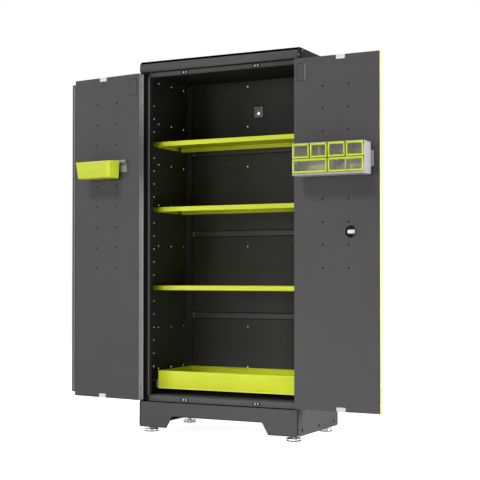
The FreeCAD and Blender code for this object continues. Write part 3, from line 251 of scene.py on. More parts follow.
def clear_window(name):
    """Smoky clear plastic: mostly see-through, with a frosted film and a gloss."""
    material, shader, place = blank_finish(name)
    frost = place.noise(60.0, 3.0, 0.6)
    place.feed(shader["Base Color"], frost.blend((0.40, 0.40, 0.46), (0.52, 0.52, 0.58)))
    place.feed(shader["Alpha"], 0.07 + (frost - 0.5) * 0.06)
    shader["Roughness"].default_value = 0.12
    return material


WINDOW = clear_window("drawer_window")
print("plastics:", LIME_PLASTIC.name, GREY_PLASTIC.name, BLACK_PLASTIC_AND_SHADE.name, WINDOW.name)

# %% [markdown]
# ## Bare metal
# Slides, clips, catches and lock parts are zinc plated: pale grey with a faint crystal pattern. The
# levelling feet and the lock's collar are bright plated, and the lock's cam and rods are blackened. All are
# metallic shaders with rubbing marks in tone and gloss. The zinc also gets a cell pattern in its tone, and
# the other two hardly any.

# %% Metal finishes
def plated(name, colour, roughness, spangle):
    material, shader, place = blank_finish(name)
    cells = place.node("ShaderNodeTexVoronoi", None, {"Vector": place, "Scale": 260.0}, out="Color")
    grey = cells.node("ShaderNodeRGBToBW", None, {"Color": cells})
    rubbed = place.noise(45.0, 4.0, 0.6)
    tone = (grey * spangle + rubbed * (1.0 - spangle)).band(0.1, 0.9)
    place.feed(shader["Base Color"], tone.blend(*shades(colour, 0.86, 1.1)))
    place.feed(shader["Roughness"], roughness + (rubbed - 0.5) * 0.14)
    place.feed(shader["Normal"], rubbed.bump(0.08, 0.0002))
    shader["Metallic"].default_value = 1.0
    return material


ZINC = plated("zinc_plate", (0.37, 0.37, 0.38), 0.48, 0.5)
CHROME = plated("bright_plate", (0.80, 0.80, 0.81), 0.14, 0.1)
BLACK_STEEL = plated("blackened_steel", (0.02, 0.02, 0.021), 0.55, 0.2)
print("metals:", ZINC.name, CHROME.name, BLACK_STEEL.name)

# %% [markdown]
# ## Painting the CAD pieces
# Every CAD piece gets a finish first. Those that already have the right shape stay as they are, and the
# others are replaced further on. The record names a slot for each piece, and each slot has one of the
# finishes above. A few pieces have a finish of their own: walls, posts and roof are darker, as painted
# shade, the rails greyer and the edge pull paler, as painted light, and the lock's rods blackened.

# %% Finish every CAD node
FINISH = {"charcoal_paint": CHARCOAL, "lime_paint": LIME_PAINT, "lime_plastic": LIME_PLASTIC,
          "grey_plastic": GREY_PLASTIC, "grey_bracket": BRACKET_PAINT, "black_plastic": BLACK_PLASTIC_AND_SHADE,
          "zinc": ZINC, "chrome": CHROME}
SLOT_OF = {part["node"]: part["material_slot"] for part in frame["record"]["subparts"]}
WALL_PIECES = ("left_side_panel", "right_side_panel", "rear_posts", "back_panel_bottom", "back_panel_lower",
               "back_panel_upper", "back_panel_top")
# Darker paint on posts, roof and walls is painted shade; lighter paint on rails and edge pull is painted
# light.
OWN_FINISH = {"front_posts": SHADE_COAT, "roof_panel": SHADE_COAT, "face_rails": RAIL_LIGHT_COAT,
              "right_door_edge_pull": LIME_PAINTED_LIGHT, "lock_rod_upper": BLACK_STEEL, "lock_rod_lower": BLACK_STEEL,
              **{name: WALL_SHADE_COAT for name in WALL_PIECES}}


def finish_of(node):
    """A few pieces have a finish of their own, and all else that of its slot."""
    return OWN_FINISH.get(node) or FINISH[SLOT_OF[node]]


for name, node in NODES.items():
    node.data.materials.clear()
    node.data.materials.append(finish_of(name))
print("finished", len(NODES), "nodes with", len({finish_of(name).name for name in NODES}), "finishes")

# %% [markdown]
# ## From a mesh to a piece
# Every new piece goes through one function: it names the object, gives it a finish, shades it smooth except
# at sharp corners, and ties it to the body that it moves with. A piece that stands for a CAD piece hides
# it.

# %% Piece helper
def add_piece(name, shape, material, body, stands_for=(), turn=None):
    if turn is not None:
        bmesh.ops.transform(shape, matrix=turn, verts=shape.verts)
    mesh = bpy.data.meshes.new(name)
    shape.to_mesh(mesh)
    shape.free()
    mesh.materials.append(material)
    mesh.shade_smooth()
    mesh.set_sharp_from_angle(angle=math.radians(38))
    made = bpy.data.objects.new(name, mesh)
    scene.collection.objects.link(made)
    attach(made, body)
    if stands_for:
        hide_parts(*stands_for)
    return made


def join(shapes):
    """Gather several shapes in one."""
    whole = bmesh.new()
    for shape in shapes:
        mesh = bpy.data.meshes.new("gathered")
        shape.to_mesh(mesh)
        shape.free()
        whole.from_mesh(mesh)
        bpy.data.meshes.remove(mesh)
    return whole


def round_edges(shape, edges, radius, segments=3):
    bmesh.ops.bevel(shape, geom=list(edges), offset=radius, offset_type="OFFSET", segments=segments,
                    profile=0.5, affect="EDGES", material=-1, clamp_overlap=True)


print("piece helper ready")

# %% [markdown]
# ## Folded sheet
# Posts, rails, shelves, the tray and the door pans are bent from flat sheet, and a bend is never sharp: the
# outside of it has a radius of two or three sheet thicknesses, which catches a thin line of light. The CAD
# pieces have sharp bends. A copy of each is merged, its flat faces are joined, and then only the edges
# between two wide faces are bevelled, so cut edges and holes stay crisp. The thin rim of a door pan is a
# closed ring, which one face can't follow all the way round, so its triangles are kept apart.

# %% Round the bends
SHEET_WIDTH = 0.004


def is_narrow(face, rim):
    return face.calc_area() / max(edge.calc_length() for edge in face.edges) < rim


def merged_copy(node, rim=0.0):
    """A CAD piece as one surface with its flat faces joined, apart from those narrower than a rim."""
    shape = bmesh.new()
    shape.from_mesh(NODES[node].data)
    bmesh.ops.remove_doubles(shape, verts=shape.verts, dist=0.00001)
    for edge in shape.edges:
        edge.seam = all(is_narrow(face, rim) for face in edge.link_faces)
    bmesh.ops.dissolve_limit(shape, angle_limit=math.radians(1.0), verts=shape.verts, edges=shape.edges,
                             delimit={"SEAM"})
    return shape


def bends(shape, outside):
    """Sharp edges between two faces that are both wider than a sheet is thick."""
    found = []
    for edge in shape.edges:
        is_sharp = len(edge.link_faces) == 2 and edge.calc_face_angle() > math.radians(30)
        if is_sharp and edge.is_convex == outside:
            reach = edge.calc_length()
            if reach > SHEET_WIDTH and all(f.calc_area() / reach > SHEET_WIDTH for f in edge.link_faces):
                found.append(edge)
    return found


def fold(node, radius, sheet=0.001):
    """A copy of a sheet piece with round bends, in place of it."""
    shape = merged_copy(node, sheet if node.endswith("skin") else 0.0)
    outer = bends(shape, True)
    round_edges(shape, outer, radius)
    inner = bends(shape, False)
    if inner and radius > sheet:
        round_edges(shape, inner, radius - sheet, 2)
    count = len(outer)
    made = add_piece("folded_" + node, shape, finish_of(node), BODY_OF[node], (node,))
    return made, count


FOLDS = {"front_posts": 0.003, "rear_posts": 0.003, "face_rails": 0.003, "top_cap": 0.0025,
         "shelf_upper": 0.003, "shelf_middle": 0.003, "shelf_lower": 0.003, "tray_pan": 0.003,
         "left_door_skin": 0.003, "right_door_skin": 0.003, "left_door_astragal": 0.002,
         "bin_bracket": 0.003, "slide_brackets": 0.003, "slide_outer_members": 0.0018,
         "slide_middle_members": 0.0018, "slide_inner_members": 0.0018}
for name, radius in FOLDS.items():
    made, count = fold(name, radius)
    print(made.name, "has", count, "rounded bends,", len(made.data.polygons), "faces")

# %% [markdown]
# ## Doors swung open
# Door fittings are easiest to draw with the door shut and square to the cabinet. One matrix for each door
# then turns the drawing about the pivot to the angle at which the door rests. Boxes of CAD pieces are read
# the same way round, by turning their points back.

# %% Door matrices
FRONT = -0.1784
PIVOT_SIDE = 0.4219
PIVOT_DEPTH = 0.0079


def swing(side, degrees):
    pivot = Vector((side * PIVOT_SIDE, FRONT + PIVOT_DEPTH, 0.0))
    turn = Matrix.Rotation(side * math.radians(degrees), 4, "Z")
    return Matrix.Translation(pivot) @ turn @ Matrix.Translation(-pivot)


DOORS = (("left", -1), ("right", 1))
SWING = {"left": swing(-1, 187.0), "right": swing(1, 179.0)}


def shut_box(node, door):
    """Lowest and highest corner of a door piece, as drawn with the door shut."""
    back = SWING[door].inverted()
    points = [back @ v.co for v in NODES[node].data.vertices]
    return Vector(map(min, zip(*points))), Vector(map(max, zip(*points)))


def add_to_door(door, name, shape, material, stands_for=()):
    """Add a piece that was drawn with its door shut."""
    return add_piece(name, shape, material, door + "_door", stands_for, SWING[door])


LINER = shut_box("right_door_liner", "right")[1].y
print("liner faces lie", round(1000 * (LINER - FRONT)), "mm behind the cabinet's front")

# %% [markdown]
# ## Basic shapes
# Small moulded and pressed parts are blocks with rounded edges, or shapes turned on a lathe. A block is a
# cube that is scaled, moved and bevelled, and a slab is the same block given by its ends along each axis. A
# turned part is half of its outline, spun once round an axis and merged where the ends meet. After a spin
# the faces may point inwards, so their normals are worked out again.

# %% Block and lathe
def block(low, high, radius=0.0, segments=2, edges=None):
    """A box between two corners, with all edges rounded or those that pass the test."""
    shape = bmesh.new()
    low, high = Vector(low), Vector(high)
    bmesh.ops.create_cube(shape, size=1.0)
    bmesh.ops.scale(shape, vec=high - low, verts=shape.verts)
    bmesh.ops.translate(shape, vec=(low + high) / 2, verts=shape.verts)
    if radius:
        chosen = [e for e in shape.edges if edges is None or edges(e)]
        round_edges(shape, chosen, radius, segments)
    return shape


def slab(xs, ys, zs, radius=0.0, segments=2, edges=None):
    """A block given by its two ends along each axis."""
    return block(*zip(xs, ys, zs), radius, segments, edges)


def mirrored(side, near, far):
    """Two places on one side of the middle, the lower one first."""
    return sorted((side * near, side * far))


def lathe(outline, place, axis=(0.0, 0.0, 1.0), steps=24):
    """Spin (radius, height) pairs, then stand the part at a place with its height along an axis."""
    shape = bmesh.new()
    points = [shape.verts.new((r, 0.0, h)) for r, h in outline]
    lines = [shape.edges.new(pair) for pair in zip(points, points[1:])]
    bmesh.ops.spin(shape, geom=points + lines, cent=(0, 0, 0), axis=(0, 0, 1), angle=math.tau, steps=steps,
                   use_merge=True, use_duplicate=False)
    bmesh.ops.remove_doubles(shape, verts=shape.verts, dist=0.000001)
    bmesh.ops.recalc_face_normals(shape, faces=shape.faces)
    turn = Vector((0, 0, 1)).rotation_difference(Vector(axis)).to_matrix().to_4x4()
    bmesh.ops.transform(shape, matrix=Matrix.Translation(Vector(place)) @ turn, verts=shape.verts)
    return shape


def along(axis):
    """A test for edges that run along an axis."""
    return lambda e: abs((e.verts[1].co - e.verts[0].co).normalized()[axis]) > 0.99


print("block and lathe ready")

# %% [markdown]
# ## Screws, caps and rivets
# The base is screwed together from its sides, and a soft black cap hides each of those screws. The ends of
# the top have bright pan-head screws with a round drive recess. The liners are pop-riveted to the door pans
# along both long edges. Each head is a turned outline with few steps, because there are many of them and
# each is only a few millimetres wide.

# %% Fasteners
def pan_head(place, axis, radius=0.004, height=0.0018):
    outline = [(radius, 0.0), (radius, 0.35 * height), (0.85 * radius, 0.8 * height), (0.6 * radius, height),
               (0.42 * radius, height), (0.36 * radius, 0.4 * height), (0.0, 0.4 * height)]
    return lathe(outline, place, axis, 12)


def rivet(place, axis, radius=0.0032):
    outline = [(radius, 0.0), (0.9 * radius, 0.0006), (0.6 * radius, 0.0012), (0.3 * radius, 0.0013),
               (0.25 * radius, 0.0006), (0.0, 0.0006)]
    return lathe(outline, place, axis, 10)


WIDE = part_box("base_front_apron")[1].x
SCREW_CAP = [(0.0065, 0.0), (0.0065, 0.0006), (0.0055, 0.0014), (0.003, 0.0018), (0.0, 0.0019)]
BASE_SCREW_DEPTHS, BASE_SCREW_LEVEL = (0.045, 0.2425, 0.430), 0.052
CAP_SCREWS = ((0.0075, 1.7921), (0.051, 1.8195))
screw_caps, cap_heads = [], []
for side in (-1, 1):
    out = (side, 0, 0)
    screw_caps += [lathe(SCREW_CAP, (side * WIDE, FRONT + depth, BASE_SCREW_LEVEL), out, 16)
                   for depth in BASE_SCREW_DEPTHS]
    cap_heads += [pan_head((side * WIDE, FRONT + depth, level), out) for depth, level in CAP_SCREWS]
add_piece("base_screw_caps", join(screw_caps), BLACK_RUBBER_AND_SHADE, "cabinet", ("panel_screws",))
add_piece("cap_screws", join(cap_heads), ZINC, "cabinet")
print(len(screw_caps), "screw caps and", len(cap_heads), "bright heads")

# %% [markdown]
# ## Painted shade at the seams and hem of the base
# The base is folded from several sheets, and shade falls where they meet: along the deck, at both front
# corners and in a slot on each side. This shade is painted, as black slabs. The lower edge of the front is
# folded back as a hem that follows the cut-out, and the hem's own shadow is painted as a dark strip along
# it. All of them are slabs. Those in the slots lie just below the face, and the others stand a third of a
# millimetre proud, because lines this thin show by their colour and not by their depth.

# %% Base seams, in painted shade
BASE_LOW, BASE_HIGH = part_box("base_front_apron")
RAIL_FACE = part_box("face_rails")[0].y
PROUD, NICK = 0.0003, 0.0001
SEAM, BASE_CORNER = 0.005, 0.012
SLOT_DEPTHS, SLOT_LEVELS = (FRONT + 0.006, FRONT + 0.011), (0.134, 0.142)
base_skin = (BASE_LOW.y - PROUD, BASE_LOW.y)
# Black slabs of painted shade at the deck, the front corners and the side slots.
seams = [slab((-WIDE + 0.002, WIDE - 0.002), (BASE_LOW.y + 0.004, RAIL_FACE),
              (BASE_HIGH.z, BASE_HIGH.z + PROUD), NICK, 1)]
for side in (-1, 1):
    seams.append(slab(mirrored(side, WIDE - SEAM, WIDE - PROUD), base_skin,
                      (BASE_LOW.z + BASE_CORNER, BASE_HIGH.z - 0.001), NICK, 1))
    seams.append(slab(mirrored(side, WIDE - 0.0008, WIDE - PROUD), SLOT_DEPTHS, SLOT_LEVELS, NICK, 1))
add_piece("base_seam_shades", join(seams), BLACK_RUBBER_AND_SHADE, "cabinet")
print(len(seams), "seams in the base")

# %% Painted shadow of the base hem
CUT_FOOT, CUT_TOP, CUT_RISE, HEM = 0.275, 0.242, 0.056, 0.0035
lean = math.atan2(CUT_FOOT - CUT_TOP, CUT_RISE)
# Dark slabs of painted shadow along the hem and the cut-out.
hem_shadows = [slab((-CUT_TOP, CUT_TOP), base_skin, (BASE_LOW.z + CUT_RISE, BASE_LOW.z + CUT_RISE + HEM), NICK, 1)]
for side in (-1, 1):
    hem_shadows.append(slab(mirrored(side, CUT_FOOT, WIDE - BASE_CORNER), base_skin, (BASE_LOW.z, BASE_LOW.z + HEM),
                     NICK, 1))
    slant = slab(mirrored(side, 0.0, HEM), (-PROUD, 0.0), (0.0, CUT_RISE / math.cos(lean)), NICK, 1)
    stand = (Matrix.Translation((side * CUT_FOOT, BASE_LOW.y, BASE_LOW.z))
             @ Matrix.Rotation(-side * lean, 4, "Y"))
    bmesh.ops.transform(slant, matrix=stand, verts=slant.verts)
    hem_shadows.append(slant)
add_piece("base_hem_shadow", join(hem_shadows), SHADE_COAT, "cabinet")
print(len(hem_shadows), "lengths of hem")

# %% [markdown]
# ## Top and posts
# Dark plates on both ends of the top are painted shade, and so is a black strip on the bevel along its
# front. Each post has a rolled bead beside the opening, painted lighter as a painted highlight. The plates
# and beads are slabs of which only one or two edges are bevelled, and the strip is drawn upright and then
# leaned back on the bevel.

# %% Ends of the top
CAP_LOW, CAP_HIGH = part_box("top_cap")
BROW, NEAR = 0.0165, 0.001


def is_brow(edge):
    """The upper front edge of an end plate, where the top is bevelled."""
    spot = edge.verts[0].co
    return along(0)(edge) and spot.y < CAP_LOW.y + NEAR and spot.z > CAP_HIGH.z - NEAR


# Dark plates of painted shade on both ends of the top.
end_shade_plates = [slab(mirrored(side, WIDE, WIDE + PROUD), (CAP_LOW.y, CAP_HIGH.y), (CAP_LOW.z, CAP_HIGH.z),
                   BROW, 1, is_brow) for side in (-1, 1)]
add_piece("cap_end_shade_plates", join(end_shade_plates), SHADE_COAT, "cabinet")
print(len(end_shade_plates), "end plates")

# %% Post beads and bevel strip, in painted highlight and shade
POST_BEAD, BEAD_LEVELS, BEAD_PROUD = (0.3957, 0.4025), (0.178, 1.757), 0.0007


def is_bead_edge(edge):
    """An upright edge on the front of a bead."""
    return along(2)(edge) and edge.verts[0].co.y < RAIL_FACE - BEAD_PROUD / 2


# Beads painted lighter, as a painted highlight.
beads = [slab(mirrored(side, *POST_BEAD), (RAIL_FACE - BEAD_PROUD, RAIL_FACE), BEAD_LEVELS, 0.0006, 3,
              is_bead_edge) for side in (-1, 1)]
add_piece("post_bead_highlights", join(beads), POST_HIGHLIGHT_COAT, "cabinet")
BEVEL_RISE, BEVEL_RUN, STRIP_MARGIN = 0.016, 0.017, 0.0022
bevel_tilt = math.atan2(BEVEL_RUN, BEVEL_RISE)
bevel_half = 0.5 * math.hypot(BEVEL_RISE, BEVEL_RUN) - STRIP_MARGIN
# A black strip of painted shade on the bevel of the top.
bevel_shade_strip = slab((-WIDE + 0.001, WIDE - 0.001), (-0.0006, 0.0), (-bevel_half, bevel_half), 0.0003, 2)
on_bevel = (Matrix.Translation((0.0, FRONT + BEVEL_RUN / 2, CAD_BOX[1][2] - BEVEL_RISE / 2))
            @ Matrix.Rotation(-bevel_tilt, 4, "X"))
add_piece("cap_bevel_shade_strip", bevel_shade_strip, BLACK_RUBBER_AND_SHADE, "cabinet", turn=on_bevel)
print(len(beads), "beads and a rub strip", round(2000 * bevel_half), "mm wide")

# %% Door rivets
DOOR_LOW, DOOR_HIGH = (corner.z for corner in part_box("left_door_liner"))
HINGE_SIDE, FREE_SIDE = 0.4265, 0.009
RIVET_DROP, RIVET_PITCH, RIVET_ROWS = 0.058, 0.2072, 8
RIVET_COLUMNS = (HINGE_SIDE - 0.006, FREE_SIDE + 0.012)
for door, sign in DOORS:
    levels = [DOOR_HIGH - RIVET_DROP - k * RIVET_PITCH for k in range(RIVET_ROWS)]
    rivets = [rivet((sign * x, LINER, z), (0, 1, 0)) for x in RIVET_COLUMNS for z in levels]
    add_to_door(door, door + "_liner_rivets", join(rivets), CHARCOAL)
    print(door, "door has", len(rivets), "rivets")

# %% [markdown]
# ## Lined holes
# Bins and drawer housings hang from holes in the door liners. Thin sheet can't hold a screw, so each hole
# has a black rivet nut: a flange on the face and a blind barrel behind it, drawn as one turned outline.
# Nuts that a bracket would cover are left out. Small domed plugs close the holes in the back, apart from
# one column beside the cable port. In the side walls they close the rear holes where no shelf clip sits,
# and the topmost front hole.

# %% Rivet nuts
HOLE_ROW, HOLE_COLUMN = 0.1036, 0.127
DOOR_HOLE_DROP, DOOR_HOLE_FROM_HINGE, DOOR_HOLE_ROWS = 0.136, 0.143, 9
BRACKET_MARGIN = 0.008
NUT = [(0.0, -0.0055), (0.0024, -0.0055), (0.0024, 0.0006), (0.0041, 0.0006), (0.0047, 0.0), (0.0028, 0.0),
       (0.0028, -0.0060), (0.0, -0.0060)]
COVERED = {"left": shut_box("bin_bracket", "left"), "right": shut_box("organizer_housing", "right")}


def is_covered(door, x, z):
    low, high = COVERED[door]
    return (low.x - BRACKET_MARGIN < x < high.x + BRACKET_MARGIN
            and low.z - BRACKET_MARGIN < z < high.z + BRACKET_MARGIN)


for door, sign in DOORS:
    nuts = []
    for column in range(2):
        x = sign * (HINGE_SIDE - DOOR_HOLE_FROM_HINGE - column * HOLE_COLUMN)
        for row in range(DOOR_HOLE_ROWS):
            z = DOOR_HIGH - DOOR_HOLE_DROP - row * HOLE_ROW
            if not is_covered(door, x, z):
                nuts.append(lathe(NUT, (x, LINER, z), (0, 1, 0), 16))
    add_to_door(door, door + "_rivet_nuts", join(nuts), BLACK_PLASTIC_AND_SHADE)
    print(door, "door has", len(nuts), "rivet nuts")

# %% Plugs in the back
PLUG = [(0.0, -0.003), (0.0027, -0.003), (0.0027, 0.0), (0.0045, 0.0), (0.0040, 0.0008), (0.0022, 0.0013),
        (0.0, 0.0014)]
BACK_FACE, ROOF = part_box("back_panel_top")[0].y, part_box("back_panel_top")[1].z
WALL_ROW_DROP, WALL_ROWS, OPEN_COLUMN = 0.028, 8, -1
ANCHOR_SIDE, ANCHOR_DROP = 0.2032, 0.075


def plug(place, axis):
    return lathe(PLUG, place, axis, 14)


columns = [(k + 0.5) * HOLE_COLUMN for k in range(-3, 3) if k != OPEN_COLUMN]
levels = [ROOF - WALL_ROW_DROP - 2 * row * HOLE_ROW for row in range(WALL_ROWS)]
plugs = [plug((x, BACK_FACE, z), (0, -1, 0)) for x in columns for z in levels]
plugs += [plug((side * ANCHOR_SIDE, BACK_FACE, ROOF - ANCHOR_DROP), (0, -1, 0)) for side in (-1, 1)]
add_piece("back_hole_plugs", join(plugs), BLACK_PLASTIC_AND_SHADE, "cabinet")
print(len(plugs), "plugs in the back")

# %% Plugs in the side walls
WALL, FRONT_HOLES, REAR_HOLES = 0.427, 0.135, 0.390
SHELF_HOLES_TOP, SHELF_PITCH, SHELF_ROWS = 1.692, 0.0658, 22
CLIP_RISE, CLIP_REACH = 0.011, 0.03
clips = [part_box(shelf)[0].z - CLIP_RISE for shelf in ("shelf_upper", "shelf_middle", "shelf_lower")]
levels = [SHELF_HOLES_TOP - row * SHELF_PITCH for row in range(SHELF_ROWS)]
free_levels = [z for z in levels if min(abs(z - clip) for clip in clips) > CLIP_REACH]
wall_plugs = [plug((side * WALL, FRONT + REAR_HOLES, z), (-side, 0, 0))
              for z in free_levels for side in (-1, 1)]
wall_plugs += [plug((side * WALL, FRONT + FRONT_HOLES, SHELF_HOLES_TOP), (-side, 0, 0)) for side in (-1, 1)]
add_piece("wall_hole_plugs", join(wall_plugs), CHARCOAL, "cabinet")
print(len(wall_plugs), "plugs in the side walls")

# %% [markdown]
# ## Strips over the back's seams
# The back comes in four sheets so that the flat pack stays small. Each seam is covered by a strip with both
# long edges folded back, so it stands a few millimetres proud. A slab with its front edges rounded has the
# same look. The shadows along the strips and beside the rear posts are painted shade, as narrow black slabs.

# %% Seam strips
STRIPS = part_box("back_joint_strips")
STRIP_ENDS = (STRIPS[0].x, STRIPS[1].x)
STRIP_RISE, STRIP_HALF, STRIP_LEVELS = 0.0045, 0.014, (0.5600, 0.9865, 1.4129)
STRIP_SCREW_SIDE, STRIP_SCREW_RISE = 0.379, 0.0085
SHADE_LINE, SHADE_LINE_RISE, SHADE_LINE_LEVELS = 0.0034, 0.0008, (0.160, 1.770)


def is_strip_edge(edge):
    """A long edge on the front of a strip."""
    return along(0)(edge) and edge.verts[0].co.y < BACK_FACE - NEAR


strip_face = BACK_FACE - STRIP_RISE
strips = [slab(STRIP_ENDS, (strip_face, BACK_FACE), (level - STRIP_HALF, level + STRIP_HALF), 0.0018, 3,
               is_strip_edge) for level in STRIP_LEVELS]
heads = [pan_head((side * STRIP_SCREW_SIDE, strip_face, level + up * STRIP_SCREW_RISE), (0, -1, 0))
         for level in STRIP_LEVELS for side in (-1, 1) for up in (-1, 1)]
# Black slabs of painted shade along the strips and beside the rear posts.
shade_line_depth = (BACK_FACE - SHADE_LINE_RISE, BACK_FACE)
shade_lines = [slab(STRIP_ENDS, shade_line_depth, (bottom, bottom + SHADE_LINE), 0.0003, 1)
         for level in STRIP_LEVELS for bottom in (level - STRIP_HALF - SHADE_LINE, level + STRIP_HALF)]
shade_lines += [slab(mirrored(side, STRIPS[1].x, STRIPS[1].x - SHADE_LINE), shade_line_depth, SHADE_LINE_LEVELS, 0.0003, 1)
          for side in (-1, 1)]
add_piece("seam_shade_lines", join(shade_lines), BLACK_RUBBER_AND_SHADE, "cabinet")
add_piece("folded_seam_strips", join(strips), CHARCOAL, "cabinet", ("back_joint_strips",))
add_piece("strip_screws", join(heads), ZINC, "cabinet")
print(len(strips), "strips,", len(heads), "screws and", len(shade_lines), "shade_lines")

# %% [markdown]
# ## Magnetic catches
# A catch is a black moulded case set in the rail. Two steel poles stand just proud of it and touch the
# strike plate on the door. The strike is a small zinc plate with two screws beside the poles, and its
# corners are rounded so that it doesn't scratch.

# %% Catches
CATCH_SIDE, CATCH_LEVELS = 0.195, (0.16175, 1.76575)
CATCH_SIZE = Vector((0.044, 0.018, 0.012))
POLE_SIZE, POLE_SIDE, POLE_PROUD = Vector((0.008, 0.002, 0.008)), 0.008, 0.0006
cases, poles = [], []
for level in CATCH_LEVELS:
    for side in (-1, 1):
        low = Vector((side * CATCH_SIDE - CATCH_SIZE.x / 2, RAIL_FACE, level - CATCH_SIZE.z / 2))
        cases.append(block(low, low + CATCH_SIZE, 0.0012, 2))
        for end in (-1, 1):
            middle = side * CATCH_SIDE + end * POLE_SIDE
            low = Vector((middle - POLE_SIZE.x / 2, RAIL_FACE - POLE_PROUD, level - POLE_SIZE.z / 2))
            poles.append(block(low, low + POLE_SIZE, 0.0003, 1))
add_piece("catch_cases", join(cases), BLACK_PLASTIC_AND_SHADE, "cabinet", ("magnetic_catches",))
add_piece("catch_poles", join(poles), ZINC, "cabinet")
print(len(cases), "catches with", len(poles), "poles")

# %% Strikes
STRIKE_SIZE, STRIKE_EDGE, STRIKE_SCREW_SIDE = Vector((0.044, 0.001, 0.019)), 0.0005, 0.0165
for door, sign in DOORS:
    plates, screws = [], []
    for bottom in (DOOR_LOW + STRIKE_EDGE, DOOR_HIGH - STRIKE_EDGE - STRIKE_SIZE.z):
        low = Vector((sign * CATCH_SIDE - STRIKE_SIZE.x / 2, LINER, bottom))
        plates.append(block(low, low + STRIKE_SIZE, 0.003, 3, along(1)))
        for end in (-1, 1):
            place = low + STRIKE_SIZE / 2 + Vector((end * STRIKE_SCREW_SIDE, STRIKE_SIZE.y / 2, 0.0))
            screws.append(pan_head(place, (0, 1, 0), 0.003, 0.0005))
    add_to_door(door, door + "_strike_plates", join(plates), ZINC, (door + "_door_strikes",))
    add_to_door(door, door + "_strike_screws", join(screws), ZINC)
    print(door, "door has", len(plates), "strikes with", len(screws), "screws")

# %% [markdown]
# ## Cable port
# Leads go out through a grey moulded plate in the back, with a black ring of painted shadow round it. The
# plate starts as a flat square whose corners are rounded by bevelling its points. An inset face becomes the
# hole, which is made round by moving each of its points to the same distance from the centre. Extruding the
# ring gives the thickness. The ring of painted shadow is made in the same way.

# %% A plate with a hole
def flat_plate(low, high, corner, segments):
    """A face in the X and Z plane with rounded corners."""
    shape = bmesh.new()
    size, middle = high - low, (low + high) / 2
    stand = (Matrix.Translation((middle.x, high.y, middle.z)) @ Matrix.Diagonal((size.x, 1.0, size.z, 1.0))
             @ Matrix.Rotation(math.radians(90), 4, "X"))
    bmesh.ops.create_grid(shape, x_segments=1, y_segments=1, size=0.5, matrix=stand)
    bmesh.ops.bevel(shape, geom=shape.verts[:], offset=corner, offset_type="OFFSET", segments=segments,
                    profile=0.5, affect="VERTICES", material=-1)
    return shape


def thicken(shape, depth):
    """Extrude a flat shape along Y."""
    copied = bmesh.ops.extrude_face_region(shape, geom=shape.faces[:])["geom"]
    moved = [item for item in copied if isinstance(item, bmesh.types.BMVert)]
    bmesh.ops.translate(shape, verts=moved, vec=(0.0, depth, 0.0))
    bmesh.ops.recalc_face_normals(shape, faces=shape.faces)


def open_middle(shape, rim):
    """Inset a flat plate by a rim, and give back the face in the middle of it."""
    shape.faces.ensure_lookup_table()
    middle = shape.faces[0]
    bmesh.ops.inset_region(shape, faces=[middle], thickness=rim, use_boundary=True, use_even_offset=True)
    return middle


def flat_ring(low, high, corner, segments, rim, depth):
    """A flat frame: a plate with its middle taken out."""
    shape = flat_plate(low, high, corner, segments)
    bmesh.ops.delete(shape, geom=[open_middle(shape, rim)], context="FACES_ONLY")
    thicken(shape, depth)
    return shape


def front_rims(shape, face):
    """The sharp edges round a plate's front and round its hole."""
    return [e for e in shape.edges if all(abs(v.co.y - face) < 1e-6 for v in e.verts)
            and e.calc_face_angle(0.0) > math.radians(60)]


print("plates and rings ready")

# %% Port
PORT_LOW, PORT_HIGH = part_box("cable_port")
PORT_LEVEL, PORT_BORE, PORT_SLEEVE, PORT_THICK = 1.603, 0.010, 0.013, 0.002
PORT_SCREW_INSET = 0.006
port = flat_plate(PORT_LOW, Vector((PORT_HIGH.x, PORT_LOW.y, PORT_HIGH.z)), 0.0065, 5)
inner = open_middle(port, 0.006)
centre = Vector((0.0, PORT_LOW.y, PORT_LEVEL))
for corner in inner.verts:
    corner.co = centre + (corner.co - centre).normalized() * PORT_BORE
bmesh.ops.delete(port, geom=[inner], context="FACES_ONLY")
thicken(port, PORT_THICK)
round_edges(port, front_rims(port, PORT_LOW.y), 0.0007, 2)
sleeve = lathe([(PORT_BORE, -0.001), (PORT_SLEEVE - 0.0005, -0.001), (PORT_SLEEVE, 0.0), (PORT_SLEEVE, 0.003),
                (PORT_BORE, 0.003), (PORT_BORE, -0.001)], centre, (0, 1, 0), 28)
port_screws = [pan_head((x, PORT_LOW.y, z), (0, -1, 0), 0.0025, 0.001)
               for x in (PORT_LOW.x + PORT_SCREW_INSET, PORT_HIGH.x - PORT_SCREW_INSET)
               for z in (PORT_LOW.z + PORT_SCREW_INSET, PORT_HIGH.z - PORT_SCREW_INSET)]
add_piece("cable_port_plate", join([port, sleeve]), PORT_GREY, "cabinet", ("cable_port",))
add_piece("cable_port_screws", join(port_screws), ZINC, "cabinet")
print("cable port with", len(port_screws), "screws")

# %% Painted shadow round the port
SHADOW_RING_EDGE, SHADOW_RING_RISE = 0.005, 0.0008
# A black ring of painted shadow round the plate.
ring_low = Vector((PORT_LOW.x - SHADOW_RING_EDGE, BACK_FACE - SHADOW_RING_RISE, PORT_LOW.z - SHADOW_RING_EDGE))
ring_high = Vector((PORT_HIGH.x + SHADOW_RING_EDGE, BACK_FACE - SHADOW_RING_RISE, PORT_HIGH.z + SHADOW_RING_EDGE))
shadow_ring = flat_ring(ring_low, ring_high, 0.009, 5, SHADOW_RING_EDGE + 0.001, SHADOW_RING_RISE)
add_piece("cable_port_shadow_ring", shadow_ring, BLACK_PLASTIC_AND_SHADE, "cabinet")
print("shadow_ring", round(1000 * (ring_high.x - ring_low.x)), "mm wide")

# %% [markdown]
# ## Levelling feet
# A foot is a bright plated pad, a ball socket, a hexagon for the spanner and a threaded stud. The pad
# stands on a black rubber sole, and the shade in the groove between its band and its lid is painted as a
# black ring. All but the hexagon are turned. The thread is drawn as rings, because at this size rings and
# a helix look the same and rings are half the work.

